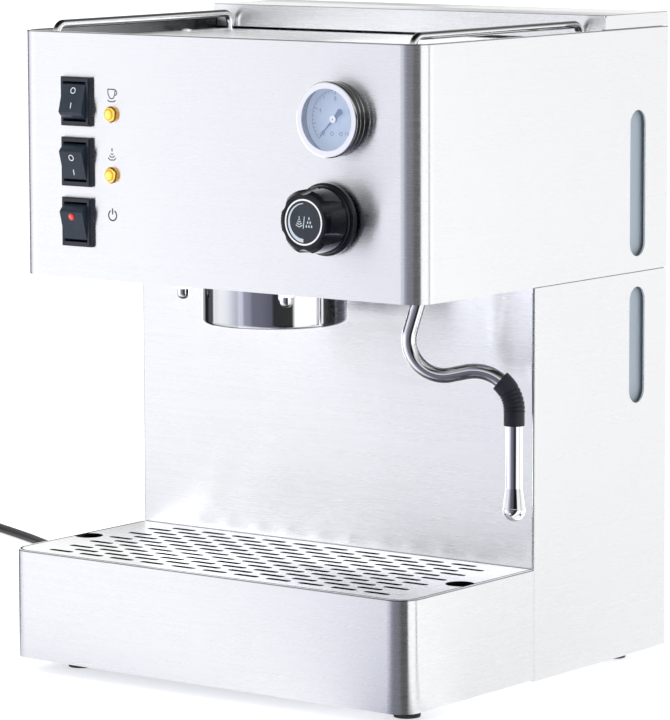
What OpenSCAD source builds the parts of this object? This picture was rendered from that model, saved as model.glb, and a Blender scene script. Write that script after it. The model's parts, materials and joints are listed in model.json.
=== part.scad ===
// Espresso machine with one brewing group, a vibration pump, a steam wand and a rear water tank.
// The housing is folded steel sheet: a head that carries the controls stands over the drip tray,
// and a column at the rear joins the two. Z is up, the controls face -Y, the feet stand on z = 0.
// Inside the modules, y is counted from the front face of the head.

/* [Housing] */
// Width of the housing
body_w = 290; // [275:1:340]
// Depth from the front face of the head to the back panel
body_d = 250; // [240:1:290]
// Height of the head
head_h = 143; // [135:1:170]
// How far the head stands in front of the splash panel
head_reach = 111.5; // [108:0.5:125]
// Clear height between the drip grid and the head
bay_h = 162.5; // [150:0.5:200]
// Height of the base shell
base_h = 64.3; // [55:0.1:80]
// How far the base stands in front of the head
base_reach = 13; // [5:0.5:25]
// Outer radius of the upright front corners
corner_r = 13; // [8:0.5:20]
// Thickness of the steel sheet
sheet = 1.2; // [1:0.1:1.6]
// Height of the column's lower edge above the table
foot_h = 7.6; // [5:0.1:12]
// Radius of a foot where it meets the floor plate
foot_r = 8.8; // [7:0.1:14]
// Distance of the front feet from the front face of the head
foot_in = 22; // [10:0.5:40]

/* [Cup tray and rails] */
// Depth of the cup tray below the top edge of the head
tray_drop = 6.5; // [4:0.5:12]
// Diameter of the rail tube
rail_d = 4.6; // [4:0.1:8]
// Height of the rail's top above the top edge of the head
rail_rise = 5.5; // [3:0.5:20]
// Distance of each rail's middle from the side of the housing
rail_inset = 16; // [14:0.5:24]
// Distance of each rail's front foot from the front face
rail_front = 16.2; // [14:0.1:40]

/* [Drip tray] */
// Length of one slot in the drip grid
slot_l = 17.3; // [10:0.1:24]
// Width of one slot
slot_w = 4.2; // [2:0.1:5]
// Distance between slots in a row
slot_step = 23.1; // [20:0.1:30]
// Distance between rows
row_step = 9.1; // [6:0.1:14]
// Radius of the finger cut-outs
finger_r = 8.4; // [7:0.1:12]
// Distance of their middle from the side of the grid
finger_in = 6; // [2:0.1:7]
// Wall of the drip tray
tray_wall = 1.6; // [1:0.1:3]

/* [Water tank] */
// Depth of the lid over the tank
lid_d = 67; // [60:1:80]
// Height of the lid above the top edge of the head
lid_rise = 8.5; // [5:0.5:15]
// Wall of the tank
tank_wall = 2.5; // [1.5:0.1:4]
// Height of the shelf that carries the tank, above the table
shelf_z = 119.6; // [112:0.1:140]
// Width of the level windows
window_w = 16.3; // [10:0.1:22]
// Length of the level window in the head
upper_window_l = 86; // [50:1:100]
// Length of the level window in the column
lower_window_l = 69; // [40:1:80]

/* [Controls] */
// Width of a switch bezel
switch_w = 22; // [20:0.5:26]
// Height of a switch bezel
switch_h = 28.5; // [26:0.5:32]
// Distance between the switches
switch_step = 35; // [33:0.5:40]
// Tilt of a rocker at either end of its travel
rocker_tilt = 15; // [8:1:18]
// Radius of the gauge bezel
gauge_r = 21.3; // [19:0.1:26]
// How far the gauge bezel stands out
gauge_reach = 9.4; // [7:0.1:12]
// Radius of the flange of the steam knob
knob_r = 20.5; // [18:0.5:26]
// How far the knob stands out
knob_reach = 24.4; // [20:0.1:32]
// Number of grip flutes in the knob
knob_flutes = 6; // [5:1:10]
// Radius of a pilot lamp
lamp_r = 4.9; // [4:0.1:7]

/* [Brewing group] */
// Distance of the group's axis from the front face
group_y = 57; // [56:0.5:60]
// Outer radius of the polished collar
collar_r = 42; // [41.5:0.5:44]
// How far the collar hangs below the head
collar_drop = 24.2; // [22:0.1:34]
// Radius of the mouth that takes the filter holder
mouth_r = 35.2; // [34:0.1:35.6]
// Half the distance between the group's studs
stud_half = 37.5; // [35:0.5:40]
// Outer radius of the boiler
boiler_r = 46; // [44:1:48]
// Height of the boiler shell
boiler_h = 74; // [60:1:78]

/* [Steam wand] */
// Distance of the wand's ball from the middle of the machine
wand_x = 99; // [90:1:104]
// Distance of the wand's ball from the front face
wand_y = 73; // [70:0.5:78]
// Turn of the wand towards the rear at rest
wand_turn = 25; // [0:1:25]
// Diameter of the steam pipe
pipe_d = 8.8; // [6:0.1:9]
// Sideways reach from the ball to the nozzle
wand_out = 48.8; // [40:0.1:50]
// Height of the nozzle's tip above the table
tip_z = 103.3; // [85:0.1:115]

/* [Hidden] */
$fn = 64;

// Clearances
gap = 0.3;        // between pieces that only lie near each other
run = 0.05;       // radial play of a shaft in its bore
seam = 0.4;       // between the head and the column
weld = 1;         // degrees that a bend reaches into the straight runs beside it
cut = 1;          // how far a cutting solid passes a face

// Levels
base_z = foot_h + sheet;                // underside of the base shell and the floor plate
floor_top = base_z + sheet;             // top of the floor plate
base_top = base_z + base_h;             // top of the base and of the drip grid
head_z = base_top + bay_h;              // lower edge of the head
head_top = head_z + head_h;             // top edge of the head
head_floor_z = head_z + sheet;          // underside of the head's floor sheet
head_floor_top = head_floor_z + sheet;
tray_top = head_top - tray_drop;        // face that cups stand on
lid_top = head_top + lid_rise;

// Plan places
in_x = body_w / 2 - sheet;              // inner face of the side walls
lid_y = body_d - lid_d;                 // front face of the tank lid
flange_y = body_d - 2 * sheet;          // inner face of the rear flanges
screw_h = 1.6;                          // height of a pan head
front_y = -(body_d + screw_h - knob_reach) / 2;
lip_w = 9;                              // inward lip at the head's lower edge
ledge_w = rail_inset + rail_d / 2 + 0.9 - sheet;    // ledge beside the cup tray, under the rails
flange_w = 12;                          // inward flange at the rear edges

// Controls
switch_x = -99.4;
lamp_dx = 25.7;                         // lamp to the right of its switch
lamp_dz = -6.7;                         // and below its middle
switch_z = [head_z + 33, head_z + 33 + switch_step, head_z + 33 + 2 * switch_step];
lamp_z = [switch_z[1] + lamp_dz, switch_z[2] + lamp_dz];
steam_x = 83.6;
steam_z = head_z + 44.7;
gauge_x = 88.2;
gauge_z = head_z + 100.4;
bezel_t = 3;                            // thickness of a switch bezel
case_w = switch_w - 2.6;                // switch body behind the panel
case_h = switch_h - 2.5;
well_w = case_w - 2;                    // well that the rocker turns in
well_h = switch_h - 5.3;
rocker_w = well_w - 0.4;
pivot_in = 2;                           // rocker axis behind the panel's face
pin_r = 1.5;
neck_r = 8;                             // steam valve neck through the panel
spindle_r = 4;
gauge_case_r = gauge_r - 1.2;

// Group and boiler
collar_z = head_z - collar_drop;        // lower rim of the collar
collar_wall = 2;
bell_r = collar_r - collar_wall - 0.5;  // outside of the group casting
groove_r = bell_r - 1.3;                // bayonet groove
bell_z = collar_z + collar_wall;        // mouth of the casting
mouth_lip = 6;                          // land below the bayonet groove
groove_h = 9;
mouth_depth = 20;
group_flange_h = 8;
boiler_z = head_floor_top + group_flange_h;
boiler_wall = 3;
boiler_flange_r = boiler_r + 8;
boiler_top = boiler_z + boiler_h;

// Wand
ball_r = 8;
seat_r = 11;
ball_z = head_floor_top + 11.6;         // middle of the ball
pipe_lean = 16.2;                       // lean of the pipe where it leaves the ball
tilt_in = 4;                            // tilt of the wand from rest, inwards and outwards
tilt_out = 10;
bend_low = 19.9;                        // radius of the lower bend
bend_grip = 22.4;                       // radius of the bend under the grip
low_z = ball_z - 70.2;                  // height of the low bend's corner
grip_z = low_z + 15.2;                  // height of the grip bend's corner
nozzle_r = pipe_d / 2 + 0.4;
bulb_r = nozzle_r + 1.7;
grip_r = pipe_d / 2 + 1.8;
grip_start = 53;                        // turn of the bend at the grip's upper end
grip_tail = 8.2;                        // straight end of the grip below the bend
rib_step = 5.4;                         // turn from one groove of the grip to the next

// Tank
tank_y0 = lid_y + 2 * sheet + 1.8;
tank_y1 = flange_y - 1;
tank_x = in_x - 2.3;
tank_r = 4;                              // corners of the tank, outside
tank_z = shelf_z + sheet + gap;
tank_top = tray_top - 15.5;
valve_x = 90;
valve_y = (tank_y0 + tank_y1) / 2;
valve_r = 6;

// Drip tray
grid_gap = 1.1;                         // joint between the grid and the base shell
grid_x = in_x - grid_gap;
grid_y0 = -base_reach + sheet + grid_gap;
grid_y1 = head_reach - grid_gap;
grid_mid = (grid_y0 + grid_y1) / 2;
grid_skirt = 10;
pan_rim_z = base_top - grid_skirt - gap;

// Pump
pump_y = valve_y;
pump_z = floor_top + 37;

// Rear screws, rows from the bottom
back_screw_x = in_x - 6.5;
back_screw_z = [floor_top + 14, head_z - 18, head_z + 24, head_top - 24];
tray_screw_y = [40, 144];
tray_screw_x = body_w / 2 - 9.5;
foot_x = body_w / 2 - 25;
foot_y = [foot_in, body_d - 18];

// Cord, from the strain relief to the coil on the table
cord_d = 6;
relief_l = 32;
exit_x = -80;
exit_z = 24;
coil_mid = [-540, 337];                 // middle of the coil
coil_r = 33;                            // middle of its turns
cord_route = [
    [exit_x, body_d + relief_l, exit_z], [-80, 287, 24], [-80, 292, 24], [-82, 304, 20.5], [-88, 316, 13],
    [-98, 325, 7], [-112, 331, 4], [-130, 333, 3], [-160, 331, 3], [-200, 324, 3],
    [-240, 315, 3], [-280, 307, 3], [-320, 303, 3], [-350, 303, 3], [-380, 308, 3],
    [-406, 318, 3], [-422, 326, 3], [-444, 336, 3], [-472, 348, 3], [-495, 358, 3],
    [-512, 366, 3], [-526, 371, 3]
];
tail_route = [
    [-576, 330, 9], [-576, 318, 9.6], [-576, 306, 11.5], [-576, 295, 14.5], [-576, 284, 17.6],
    [-576, 276, 18.5], [-576, 271, 18.5], [-576, 266, 18.5]
];
plug_r = 18.5;

steel = "#d6d8dc";
polished = "#c3c7cc";
black = "#1d1e22";
brass = "#b8954a";

// ---- helpers ----

// Moves a piece from the front face's frame to the part's frame.
module at_front() {
    translate([0, front_y, 0]) children();
}

// Extrudes a plan outline between two heights.
module slab(z0, z1) {
    translate([0, 0, z0]) linear_extrude(z1 - z0) children();
}

module block(x0, x1, y0, y1, z0, z1) {
    translate([x0, y0, z0]) cube([x1 - x0, y1 - y0, z1 - z0]);
}

// Plan outline, square at the rear and round at the two front corners.
module front_round(w, y0, y1, r) {
    translate([-w / 2, y0 + r]) square([w, y1 - y0 - r]);
    translate([-w / 2 + r, y0]) square([w - 2 * r, 2 * r]);
    for (s = [-1, 1]) translate([s * (w / 2 - r), y0 + r]) circle(r);
}

// Rectangle with four round corners.
module round_rect(x0, x1, y0, y1, r) {
    translate([x0 + r, y0]) square([x1 - x0 - 2 * r, y1 - y0]);
    translate([x0, y0 + r]) square([x1 - x0, y1 - y0 - 2 * r]);
    for (x = [x0 + r, x1 - r]) for (y = [y0 + r, y1 - r]) translate([x, y]) circle(r);
}

// Round-ended slot along x, centred.
module slot_outline(l, w) {
    square([l - w, w], center = true);
    for (s = [-1, 1]) translate([s * (l - w) / 2, 0]) circle(w / 2);
}

// Round-ended window through the right side wall.
module side_window(z0, z1) {
    translate([in_x - cut, body_d - 32, (z0 + z1) / 2]) rotate([0, 90, 0])
        linear_extrude(sheet + 2 * cut) slot_outline(z1 - z0, window_w);
}

// Places children on the front face: local z points out of the panel, local y up.
module facing(x, z) {
    translate([x, 0, z]) rotate([90, 0, 0]) children();
}

// Places children on the rear: local z points backwards.
module facing_rear(x, y, z) {
    translate([x, y, z]) rotate([-90, 0, 0]) children();
}

function unit(v) = v / norm(v);

// Straight round bar between two points.
module bar(a, b, d) {
    v = b - a;
    translate(a) rotate([0, acos(v.z / norm(v)), atan2(v.y, v.x)]) cylinder(h = norm(v), d = d);
}

// Part of a ring that turns from direction u to direction v around the corner p. It is a hair
// fuller and longer than the bars it joins, so that the three become one piece.
module elbow(p, u, v, r, d) {
    turn = acos(u * v);
    reach = r * tan(turn / 2);
    mid = p + unit(v - u) * r / cos(turn / 2);
    ex = unit(p - u * reach - mid);
    ez = cross(ex, u);
    multmatrix([
        [ex.x, u.x, ez.x, mid.x],
        [ex.y, u.y, ez.y, mid.y],
        [ex.z, u.z, ez.z, mid.z],
        [0, 0, 0, 1]
    ]) rotate([0, 0, -weld]) rotate_extrude(angle = turn + 2 * weld) translate([r, 0]) circle(d = d + 0.04);
}

function tangent_length(a, p, b, r) = r * tan(acos(unit(p - a) * unit(b - p)) / 2);

// Round pipe along straight runs with a bend at each inner corner; bends holds their radii.
module pipe_run(pts, bends, d) {
    n = len(pts);
    lead = [for (i = [0 : n - 1])
        i == 0 || i == n - 1 ? 0 : tangent_length(pts[i - 1], pts[i], pts[i + 1], bends[i - 1])];
    for (i = [0 : n - 2]) {
        u = unit(pts[i + 1] - pts[i]);
        bar(pts[i] + u * lead[i], pts[i + 1] - u * lead[i + 1], d);
    }
    for (i = [1 : n - 2])
        elbow(pts[i], unit(pts[i] - pts[i - 1]), unit(pts[i + 1] - pts[i]), bends[i - 1], d);
}

// Pan-head screw: the head's seat at the origin, the head along +z, the shank along -z.
module pan_screw(head_r, shank_r, shank_l) {
    translate([0, 0, -shank_l]) cylinder(r = shank_r, h = shank_l + 0.2);
    intersection() {
        cylinder(r = head_r, h = screw_h);
        translate([0, 0, screw_h - 3 * head_r]) sphere(r = 3 * head_r, $fn = 96);
    }
}

// Acorn nut hanging from z = 0 with its washer and stud.
module acorn(hex_r, hex_h, dome_r, dome_l, stud_r, stud_up) {
    translate([0, 0, -1]) cylinder(r = hex_r + 0.3, h = 1);
    translate([0, 0, -1 - hex_h]) cylinder(r = hex_r, h = hex_h + 0.1, $fn = 6);
    translate([0, 0, -1 - hex_h - dome_l + dome_r]) {
        cylinder(r = dome_r, h = dome_l - dome_r + 0.1);
        sphere(r = dome_r);
    }
    translate([0, 0, -0.5]) cylinder(r = stud_r, h = stud_up + 0.5);
}

// ---- housing ----

module head_shell() color(steel) at_front() difference() {
    slab(head_z, head_top) front_round(body_w, 0, body_d, corner_r);
    // inside, with a lip at the bottom and a ledge around the cup tray
    slab(head_z + sheet, tray_top - sheet)
        front_round(2 * in_x, sheet, flange_y, corner_r - sheet);
    slab(head_z - cut, head_z + 2 * sheet)
        front_round(2 * (in_x - lip_w), sheet + lip_w, flange_y, 2);
    slab(tray_top - 3 * sheet, head_top + cut)
        front_round(2 * (in_x - ledge_w), sheet + ledge_w, flange_y, 2);
    slab(tray_top, head_top + cut)
        front_round(2 * (in_x - sheet), 2 * sheet, lid_y + cut, corner_r - 2 * sheet);
    // open below over the column, and above over the tank
    block(-in_x, in_x, head_reach - seam, flange_y, head_z - cut, head_z + 3 * sheet);
    block(-in_x, in_x, lid_y, flange_y, head_z, head_top + cut);
    // rear opening between the flanges, and the pocket for the back panel
    block(-in_x + flange_w, in_x - flange_w, flange_y - cut, body_d + cut, head_z - cut, head_top + cut);
    block(-in_x, in_x, body_d - sheet, body_d + cut, head_z - cut, head_top + cut);
    // openings for the controls
    for (z = switch_z) facing(switch_x, z)
        translate([0, 0, -5]) linear_extrude(10) square([case_w + 0.4, case_h + 0.4], center = true);
    for (z = lamp_z) facing(switch_x + lamp_dx, z) translate([0, 0, -5]) cylinder(r = lamp_r - 0.7, h = 10);
    facing(gauge_x, gauge_z) translate([0, 0, -5]) cylinder(r = gauge_case_r + gap, h = 10);
    facing(steam_x, steam_z) translate([0, 0, -5]) cylinder(r = neck_r + gap, h = 10);
    side_window(head_z + 9, head_z + 9 + upper_window_l);
    // screw holes in the ledge and the flanges
    for (s = [-1, 1]) for (y = tray_screw_y)
        translate([s * tray_screw_x, y, tray_top - 10]) cylinder(r = 2.1, h = 12);
    for (s = [-1, 1]) for (i = [2, 3])
        facing_rear(s * back_screw_x, flange_y - cut, back_screw_z[i]) cylinder(r = 2.1, h = 4);
}

module head_floor() color(steel) at_front() difference() {
    slab(head_floor_z, head_floor_top)
        front_round(2 * (in_x - gap), sheet + gap, head_reach + 14, corner_r - sheet - gap);
    translate([0, group_y, head_z]) cylinder(r = bell_r + gap, h = 10);
    for (x = [-1, 1]) for (y = [-1, 1])
        translate([x * stud_half, group_y + y * stud_half, head_z]) cylinder(r = 2.75, h = 10);
    translate([wand_x, wand_y, head_z]) cylinder(r = seat_r + 0.5, h = 10);
}

module column_shell() color(steel) at_front() difference() {
    union() {
        slab(foot_h, head_z - seam) front_round(body_w, head_reach, body_d, 2);
        // splash panel reaches up behind the head's lip and folds back under its floor
        block(-in_x + gap, in_x - gap, head_reach, head_reach + 13, head_z - 3, head_floor_z);
    }
    slab(foot_h + sheet, head_z) front_round(2 * in_x, head_reach + sheet, flange_y, 0.8);
    // opening in the bottom, with a flange that carries the floor plate
    block(-in_x + 10, in_x - 10, head_reach - cut, body_d + cut, foot_h - cut, foot_h + 2 * sheet);
    block(-in_x, in_x, head_reach - cut, flange_y, foot_h + sheet, floor_top);
    // rear opening between the flanges, and the pocket for the back panel
    block(-in_x + flange_w, in_x - flange_w, flange_y - cut, body_d + cut, foot_h - cut, head_z + cut);
    block(-in_x, in_x, body_d - sheet, body_d + cut, foot_h - cut, head_z + cut);
    side_window(head_z - 9 - lower_window_l, head_z - 9);
    for (s = [-1, 1]) for (i = [0, 1])
        facing_rear(s * back_screw_x, flange_y - cut, back_screw_z[i]) cylinder(r = 2.1, h = 4);
}

module base_shell() color(steel) at_front() difference() {
    slab(base_z, base_top) front_round(body_w, -base_reach, head_reach - seam, corner_r);
    slab(base_z - cut, base_top + cut)
        front_round(2 * in_x, -base_reach + sheet, head_reach, corner_r - sheet);
}

module floor_plate() color(steel) at_front() difference() {
    union() {
        slab(base_z, floor_top)
            front_round(2 * (in_x - gap), -base_reach + sheet + gap, flange_y - gap, corner_r - sheet - gap);
        // rear upstand behind the back panel
        block(-in_x + flange_w + gap, in_x - flange_w - gap, flange_y - gap - sheet, flange_y - gap,
            base_z, floor_top + 14);
    }
    for (s = [-1, 1]) for (y = foot_y) translate([s * foot_x, y, 0]) cylinder(r = 2.1, h = floor_top + cut);
    // air slots under the pump
    for (i = [-3 : 3]) translate([i * 14, pump_y - 58, base_z - cut]) rotate([0, 0, 90])
        linear_extrude(3 * sheet) slot_outline(34, 5);
}

module back_panel() color(steel) at_front() difference() {
    block(-in_x + gap, in_x - gap, body_d - sheet, body_d, floor_top + gap, head_top - 1);
    for (s = [-1, 1]) for (z = back_screw_z)
        facing_rear(s * back_screw_x, body_d - 3, z) cylinder(r = 2.1, h = 4);
    // air slots behind the pump
    for (i = [0 : 8]) translate([22 + i * 11, body_d - 3, pump_z + 12]) rotate([-90, 90, 0])
        linear_extrude(4) slot_outline(48, 4);
    facing_rear(exit_x, body_d - 3, exit_z) cylinder(r = 7, h = 4);
}

module feet() color(black) at_front()
    for (s = [-1, 1]) for (y = foot_y) translate([s * foot_x, y, 0]) difference() {
        cylinder(r1 = foot_r - 1.2, r2 = foot_r, h = base_z);
        translate([0, 0, -cut]) cylinder(r = 4.4, h = 3 + cut);
        cylinder(r = 2.1, h = base_z + cut);
    }

module case_screws() color(polished) at_front() {
    for (s = [-1, 1]) for (z = back_screw_z)
        facing_rear(s * back_screw_x, body_d, z) pan_screw(3.6, 2, 2 * sheet + gap);
    for (s = [-1, 1]) for (y = tray_screw_y)
        translate([s * tray_screw_x, y, tray_top]) pan_screw(4, 2, 6);
    for (s = [-1, 1]) for (y = foot_y)
        translate([s * foot_x, y, 3]) mirror([0, 0, 1]) pan_screw(3.8, 2, floor_top - 3);
    translate([0, group_y, bell_z + mouth_lip + 4.4]) mirror([0, 0, 1]) pan_screw(4.5, 2.5, 12);
}

// Pressed sheet: its raised floor lies flush in the ledge, its flange is screwed up from below.
module cup_tray() color(steel) at_front() difference() {
    floor_x = in_x - ledge_w - gap;
    floor_y = sheet + ledge_w + gap;
    union() {
        slab(tray_top - 2 * sheet, tray_top - sheet)
            front_round(2 * (in_x - 1.5), sheet + 1.5, lid_y + sheet, corner_r - sheet - 1.5);
        slab(tray_top - 2 * sheet, tray_top) front_round(2 * floor_x, floor_y, lid_y - 0.2, 2 - gap);
        slab(tray_top - 2 * sheet, tray_top - sheet / 2) front_round(2 * floor_x, floor_y, lid_y + sheet, 2 - gap);
        block(-floor_x + 2, floor_x - 2, lid_y, lid_y + sheet, tray_top - 10, tray_top - sheet / 2);
    }
    slab(tray_top - 2 * sheet - cut, tray_top - sheet)
        front_round(2 * (floor_x - sheet), floor_y + sheet, lid_y, 1);
    for (s = [-1, 1]) for (y = tray_screw_y)
        translate([s * tray_screw_x, y, tray_top - 3]) cylinder(r = 2.1, h = 4);
}

module cup_rail(side) {
    x = side * (body_w / 2 - rail_inset);
    top = head_top + rail_rise - rail_d / 2;
    rear = lid_y - 1.1 - rail_d / 2;
    pipe_run([[x, rail_front, tray_top], [x, rail_front, top], [x, rear, top], [x, rear, tray_top]], [6, 6], rail_d);
}

module rail_left() color(polished) at_front() cup_rail(-1);

module rail_right() color(polished) at_front() cup_rail(1);

module tank_shelf() color(steel) at_front() difference() {
    union() {
        y0 = lid_y + sheet + gap;
        block(-in_x + gap, in_x - gap, y0, y0 + sheet, shelf_z - 16, tray_top - 2 * sheet);
        block(-in_x + gap, in_x - gap, y0, flange_y - gap, shelf_z, shelf_z + sheet);
        for (s = [-1, 1]) {
            x = s * (in_x - gap - sheet / 2);
            block(x - sheet / 2, x + sheet / 2, y0, flange_y - gap, shelf_z - 16, shelf_z + sheet);
        }
    }
    translate([valve_x, valve_y, shelf_z - cut]) cylinder(r = valve_r + 1, h = 4);
}

module terminal_block() color("#e8e6df") at_front() translate([-100, 150, floor_top]) difference() {
    block(-11, 11, -24, 24, 0, 16);
    for (i = [-2 : 2]) for (s = [-1, 1]) translate([s * 5.5, i * 9, 8]) cylinder(r = 2.2, h = 10);
}

// ---- brewing group and boiler ----

module group_collar() color(polished) at_front() translate([0, group_y, collar_z]) rotate_extrude($fn = 96) {
    difference() {
        union() {
            translate([groove_r + gap, 0]) square([collar_r - groove_r - gap - 2.5, collar_wall]);
            translate([collar_r - collar_wall - 0.5, 2.5]) square([collar_wall + 0.5, head_floor_z - collar_z - 2.5]);
            intersection() {
                translate([collar_r - 2.5, 2.5]) circle(2.5, $fn = 48);
                translate([collar_r - 2.5, 0]) square(2.5);
            }
        }
        translate([collar_r - 10, collar_wall]) square([10 - collar_wall, 60]);
    }
}

module group_bell() color(brass) at_front() translate([0, group_y, bell_z]) difference() {
    union() {
        cylinder(r = bell_r, h = head_floor_top - bell_z + 1);
        translate([0, 0, head_floor_top - bell_z]) linear_extrude(group_flange_h) round_rect(-48, 48, -48, 48, 10);
    }
    translate([0, 0, -cut]) cylinder(r = mouth_r, h = mouth_depth + cut);
    translate([0, 0, mouth_lip]) cylinder(r = groove_r, h = groove_h);
    // two entries for the ears of the filter holder
    for (a = [0, 180]) rotate([0, 0, a]) intersection() {
        translate([0, 0, -cut]) cylinder(r = groove_r, h = mouth_lip + 2 * cut);
        block(0, 60, -10, 10, -2 * cut, mouth_lip + 3 * cut);
    }
    for (x = [-1, 1]) for (y = [-1, 1])
        translate([x * stud_half, y * stud_half, 0]) cylinder(r = 2.6, h = 60);
    // thread for the screen screw, and the water way beside it
    translate([0, 0, mouth_depth - cut]) cylinder(r = 2.5 + run, h = 9);
    translate([14, 0, mouth_depth - cut]) cylinder(r = 3, h = 60);
}

module acorn_nuts() color(polished) at_front()
    for (x = [-1, 1]) for (y = [-1, 1])
        translate([x * stud_half, group_y + y * stud_half, head_floor_z])
            acorn(4.62, 4, 3.7, 6.2, 2.5, sheet + group_flange_h - 1);

module group_gasket() color("#2b2a2c") at_front() translate([0, group_y, bell_z + mouth_depth - 8]) difference() {
    cylinder(r = mouth_r - run, h = 8);
    translate([0, 0, -cut]) cylinder(r = 28.7, h = 10);
}

module water_spreader() color(brass) at_front() translate([0, group_y, bell_z + mouth_depth - 6]) difference() {
    cylinder(r = 28.4, h = 6);
    translate([0, 0, 2.4]) difference() {
        cylinder(r = 24, h = 4);
        cylinder(r = 6, h = 4);
    }
    translate([0, 0, -cut]) cylinder(r = 2.6, h = 10);
    for (a = [0 : 60 : 300]) rotate([0, 0, a]) translate([17, 0, -cut]) cylinder(r = 1.5, h = 10, $fn = 24);
}

module shower_screen() color(polished) at_front() translate([0, group_y, bell_z + mouth_lip + 4.4]) difference() {
    union() {
        cylinder(r = 28.4, h = 1);
        difference() {
            cylinder(r = 28.4, h = 3.6);
            translate([0, 0, -cut]) cylinder(r = 27.6, h = 6);
        }
    }
    translate([0, 0, -cut]) cylinder(r = 2.6, h = 5);
    for (ring = [1 : 3]) for (i = [0 : 8 * ring - 1]) rotate([0, 0, i * 45 / ring])
        translate([ring * 7.6, 0, -cut]) cylinder(r = 1, h = 4, $fn = 16);
}

module boiler_shell() color(brass) at_front() translate([0, group_y, boiler_z]) difference() {
    union() {
        cylinder(r = boiler_r, h = boiler_h);
        translate([0, 0, boiler_h - 6]) cylinder(r = boiler_flange_r, h = 6);
        // unions for the feed at the rear and the gauge at the right
        translate([0, 0, 26]) rotate([-90, 0, 0]) cylinder(r = 6, h = boiler_r + 6);
        translate([0, 0, 56]) rotate([0, 90, 0]) cylinder(r = 4, h = boiler_r + 6);
    }
    translate([0, 0, 6]) cylinder(r = boiler_r - boiler_wall, h = boiler_h);
    translate([14, 0, -cut]) cylinder(r = 3, h = 8);
    for (i = [0 : 5]) rotate([0, 0, 30 + 60 * i])
        translate([boiler_r + 4, 0, boiler_h - 7]) cylinder(r = 2.2, h = 8);
    translate([0, 0, 26]) rotate([-90, 0, 0]) cylinder(r = 1.5, h = boiler_r + 7);
    translate([0, 0, 56]) rotate([0, 90, 0]) cylinder(r = 1, h = boiler_r + 7);
}

module boiler_cap() color(brass) at_front() translate([0, group_y, boiler_top]) difference() {
    union() {
        cylinder(r = boiler_flange_r, h = 6);
        cylinder(r1 = 38, r2 = 34, h = 12);
        translate([20, 18, 0]) cylinder(r = 6, h = 17);
    }
    translate([0, 0, -cut]) cylinder(r = 36, h = 5);
    for (i = [0 : 5]) rotate([0, 0, 30 + 60 * i]) translate([boiler_r + 4, 0, -cut]) cylinder(r = 2.2, h = 8);
    for (s = [-1, 1]) translate([s * 9, -26, 0]) cylinder(r = 4 + run, h = 20);
    translate([20, 18, 0]) cylinder(r = 2, h = 20);
}

module boiler_bolts() color(polished) at_front() translate([0, group_y, boiler_top])
    for (i = [0 : 5]) rotate([0, 0, 30 + 60 * i]) translate([boiler_r + 4, 0, 0]) {
        translate([0, 0, -10]) cylinder(r = 2.1, h = 17);
        translate([0, 0, 6]) cylinder(r = 3.8, h = 3, $fn = 6);
        translate([0, 0, -9.2]) cylinder(r = 3.8, h = 3.2, $fn = 6);
    }

// Ring element in the water with two legs that stand up through the cap.
module heating_element() color("#8d8f93") at_front() translate([0, group_y, boiler_z + 18]) {
    ring = norm([9, 26]);
    rotate([0, 0, -90 + 19]) rotate_extrude(angle = 322) translate([ring, 0]) circle(3.5);
    for (s = [-1, 1]) translate([s * 9, -26, -3.8]) {
        cylinder(r = 4, h = boiler_h + 10);
        translate([0, 0, boiler_h + 9]) cylinder(r = 1.2, h = 6);
    }
}

module thermostats() color("#c9c9c4") at_front() for (p = [[-18, 14], [-18, -12]])
    translate([p.x, group_y + p.y, boiler_top + 12]) {
        cylinder(r = 8, h = 5);
        cylinder(r = 6, h = 10);
        for (s = [-1, 1]) block(s * 3 - 0.4, s * 3 + 0.4, -3, 3, 9, 16);
    }

// ---- pump and water ----

module pump_body() color(black) at_front() translate([6, pump_y, pump_z]) {
    difference() {
        rotate([0, 90, 0]) translate([0, 0, -26]) linear_extrude(52) round_rect(-23, 23, -21, 21, 5);
        translate([-30, 0, 0]) rotate([0, 90, 0]) cylinder(r = 9, h = 60);
        for (s = [-1, 1]) for (i = [-2 : 2]) block(i * 9 - 1, i * 9 + 1, -15, 15, s * 23 - 1, s * 23 + 1);
    }
}

// Core of the pump: inlet spigot at the right, brass outlet at the left.
module pump_nozzles() color(brass) at_front() translate([6, pump_y, pump_z]) rotate([0, 90, 0]) {
    translate([0, 0, -44]) cylinder(r = 9 - run, h = 88);
    translate([0, 0, -54]) cylinder(r = 7, h = 11, $fn = 6);
    translate([0, 0, 43]) cylinder(r = 6, h = 8);
    translate([0, 0, 50]) cylinder(r = 2.5, h = 14);
}

module pump_bracket() color(steel) at_front() translate([6, pump_y, 0]) difference() {
    union() {
        block(-42, 42, -24, 24, floor_top, floor_top + sheet);
        for (s = [-1, 1]) block(s * 37 - sheet / 2, s * 37 + sheet / 2, -20, 20, floor_top, pump_z + 18);
    }
    translate([-50, 0, pump_z]) rotate([0, 90, 0]) cylinder(r = 13, h = 100);
}

module pump_mounts() color("#232325") at_front() for (s = [-1, 1])
    translate([6 + s * 37 - 3, pump_y, pump_z]) rotate([0, 90, 0]) difference() {
        cylinder(r = 13 - run, h = 6);
        translate([0, 0, -cut]) cylinder(r = 9, h = 8);
    }

module water_pipes() color("#b87333") at_front() {
    // feed from the pump to the rear of the boiler
    z1 = boiler_z + 26;
    yb = group_y + boiler_r + 6;
    pipe_run([[-48, pump_y, pump_z], [-66, pump_y, pump_z], [-66, head_reach + 30, pump_z],
        [-66, head_reach + 30, z1], [0, head_reach + 30, z1], [0, yb, z1]], [10, 10, 10, 10], 5);
    // pressure line from the boiler to the gauge
    z2 = boiler_z + 56;
    pipe_run([[boiler_r + 6, group_y, z2], [gauge_x, group_y, z2], [gauge_x, group_y, gauge_z],
        [gauge_x, 32, gauge_z]], [8, 8], 3);
}

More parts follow.
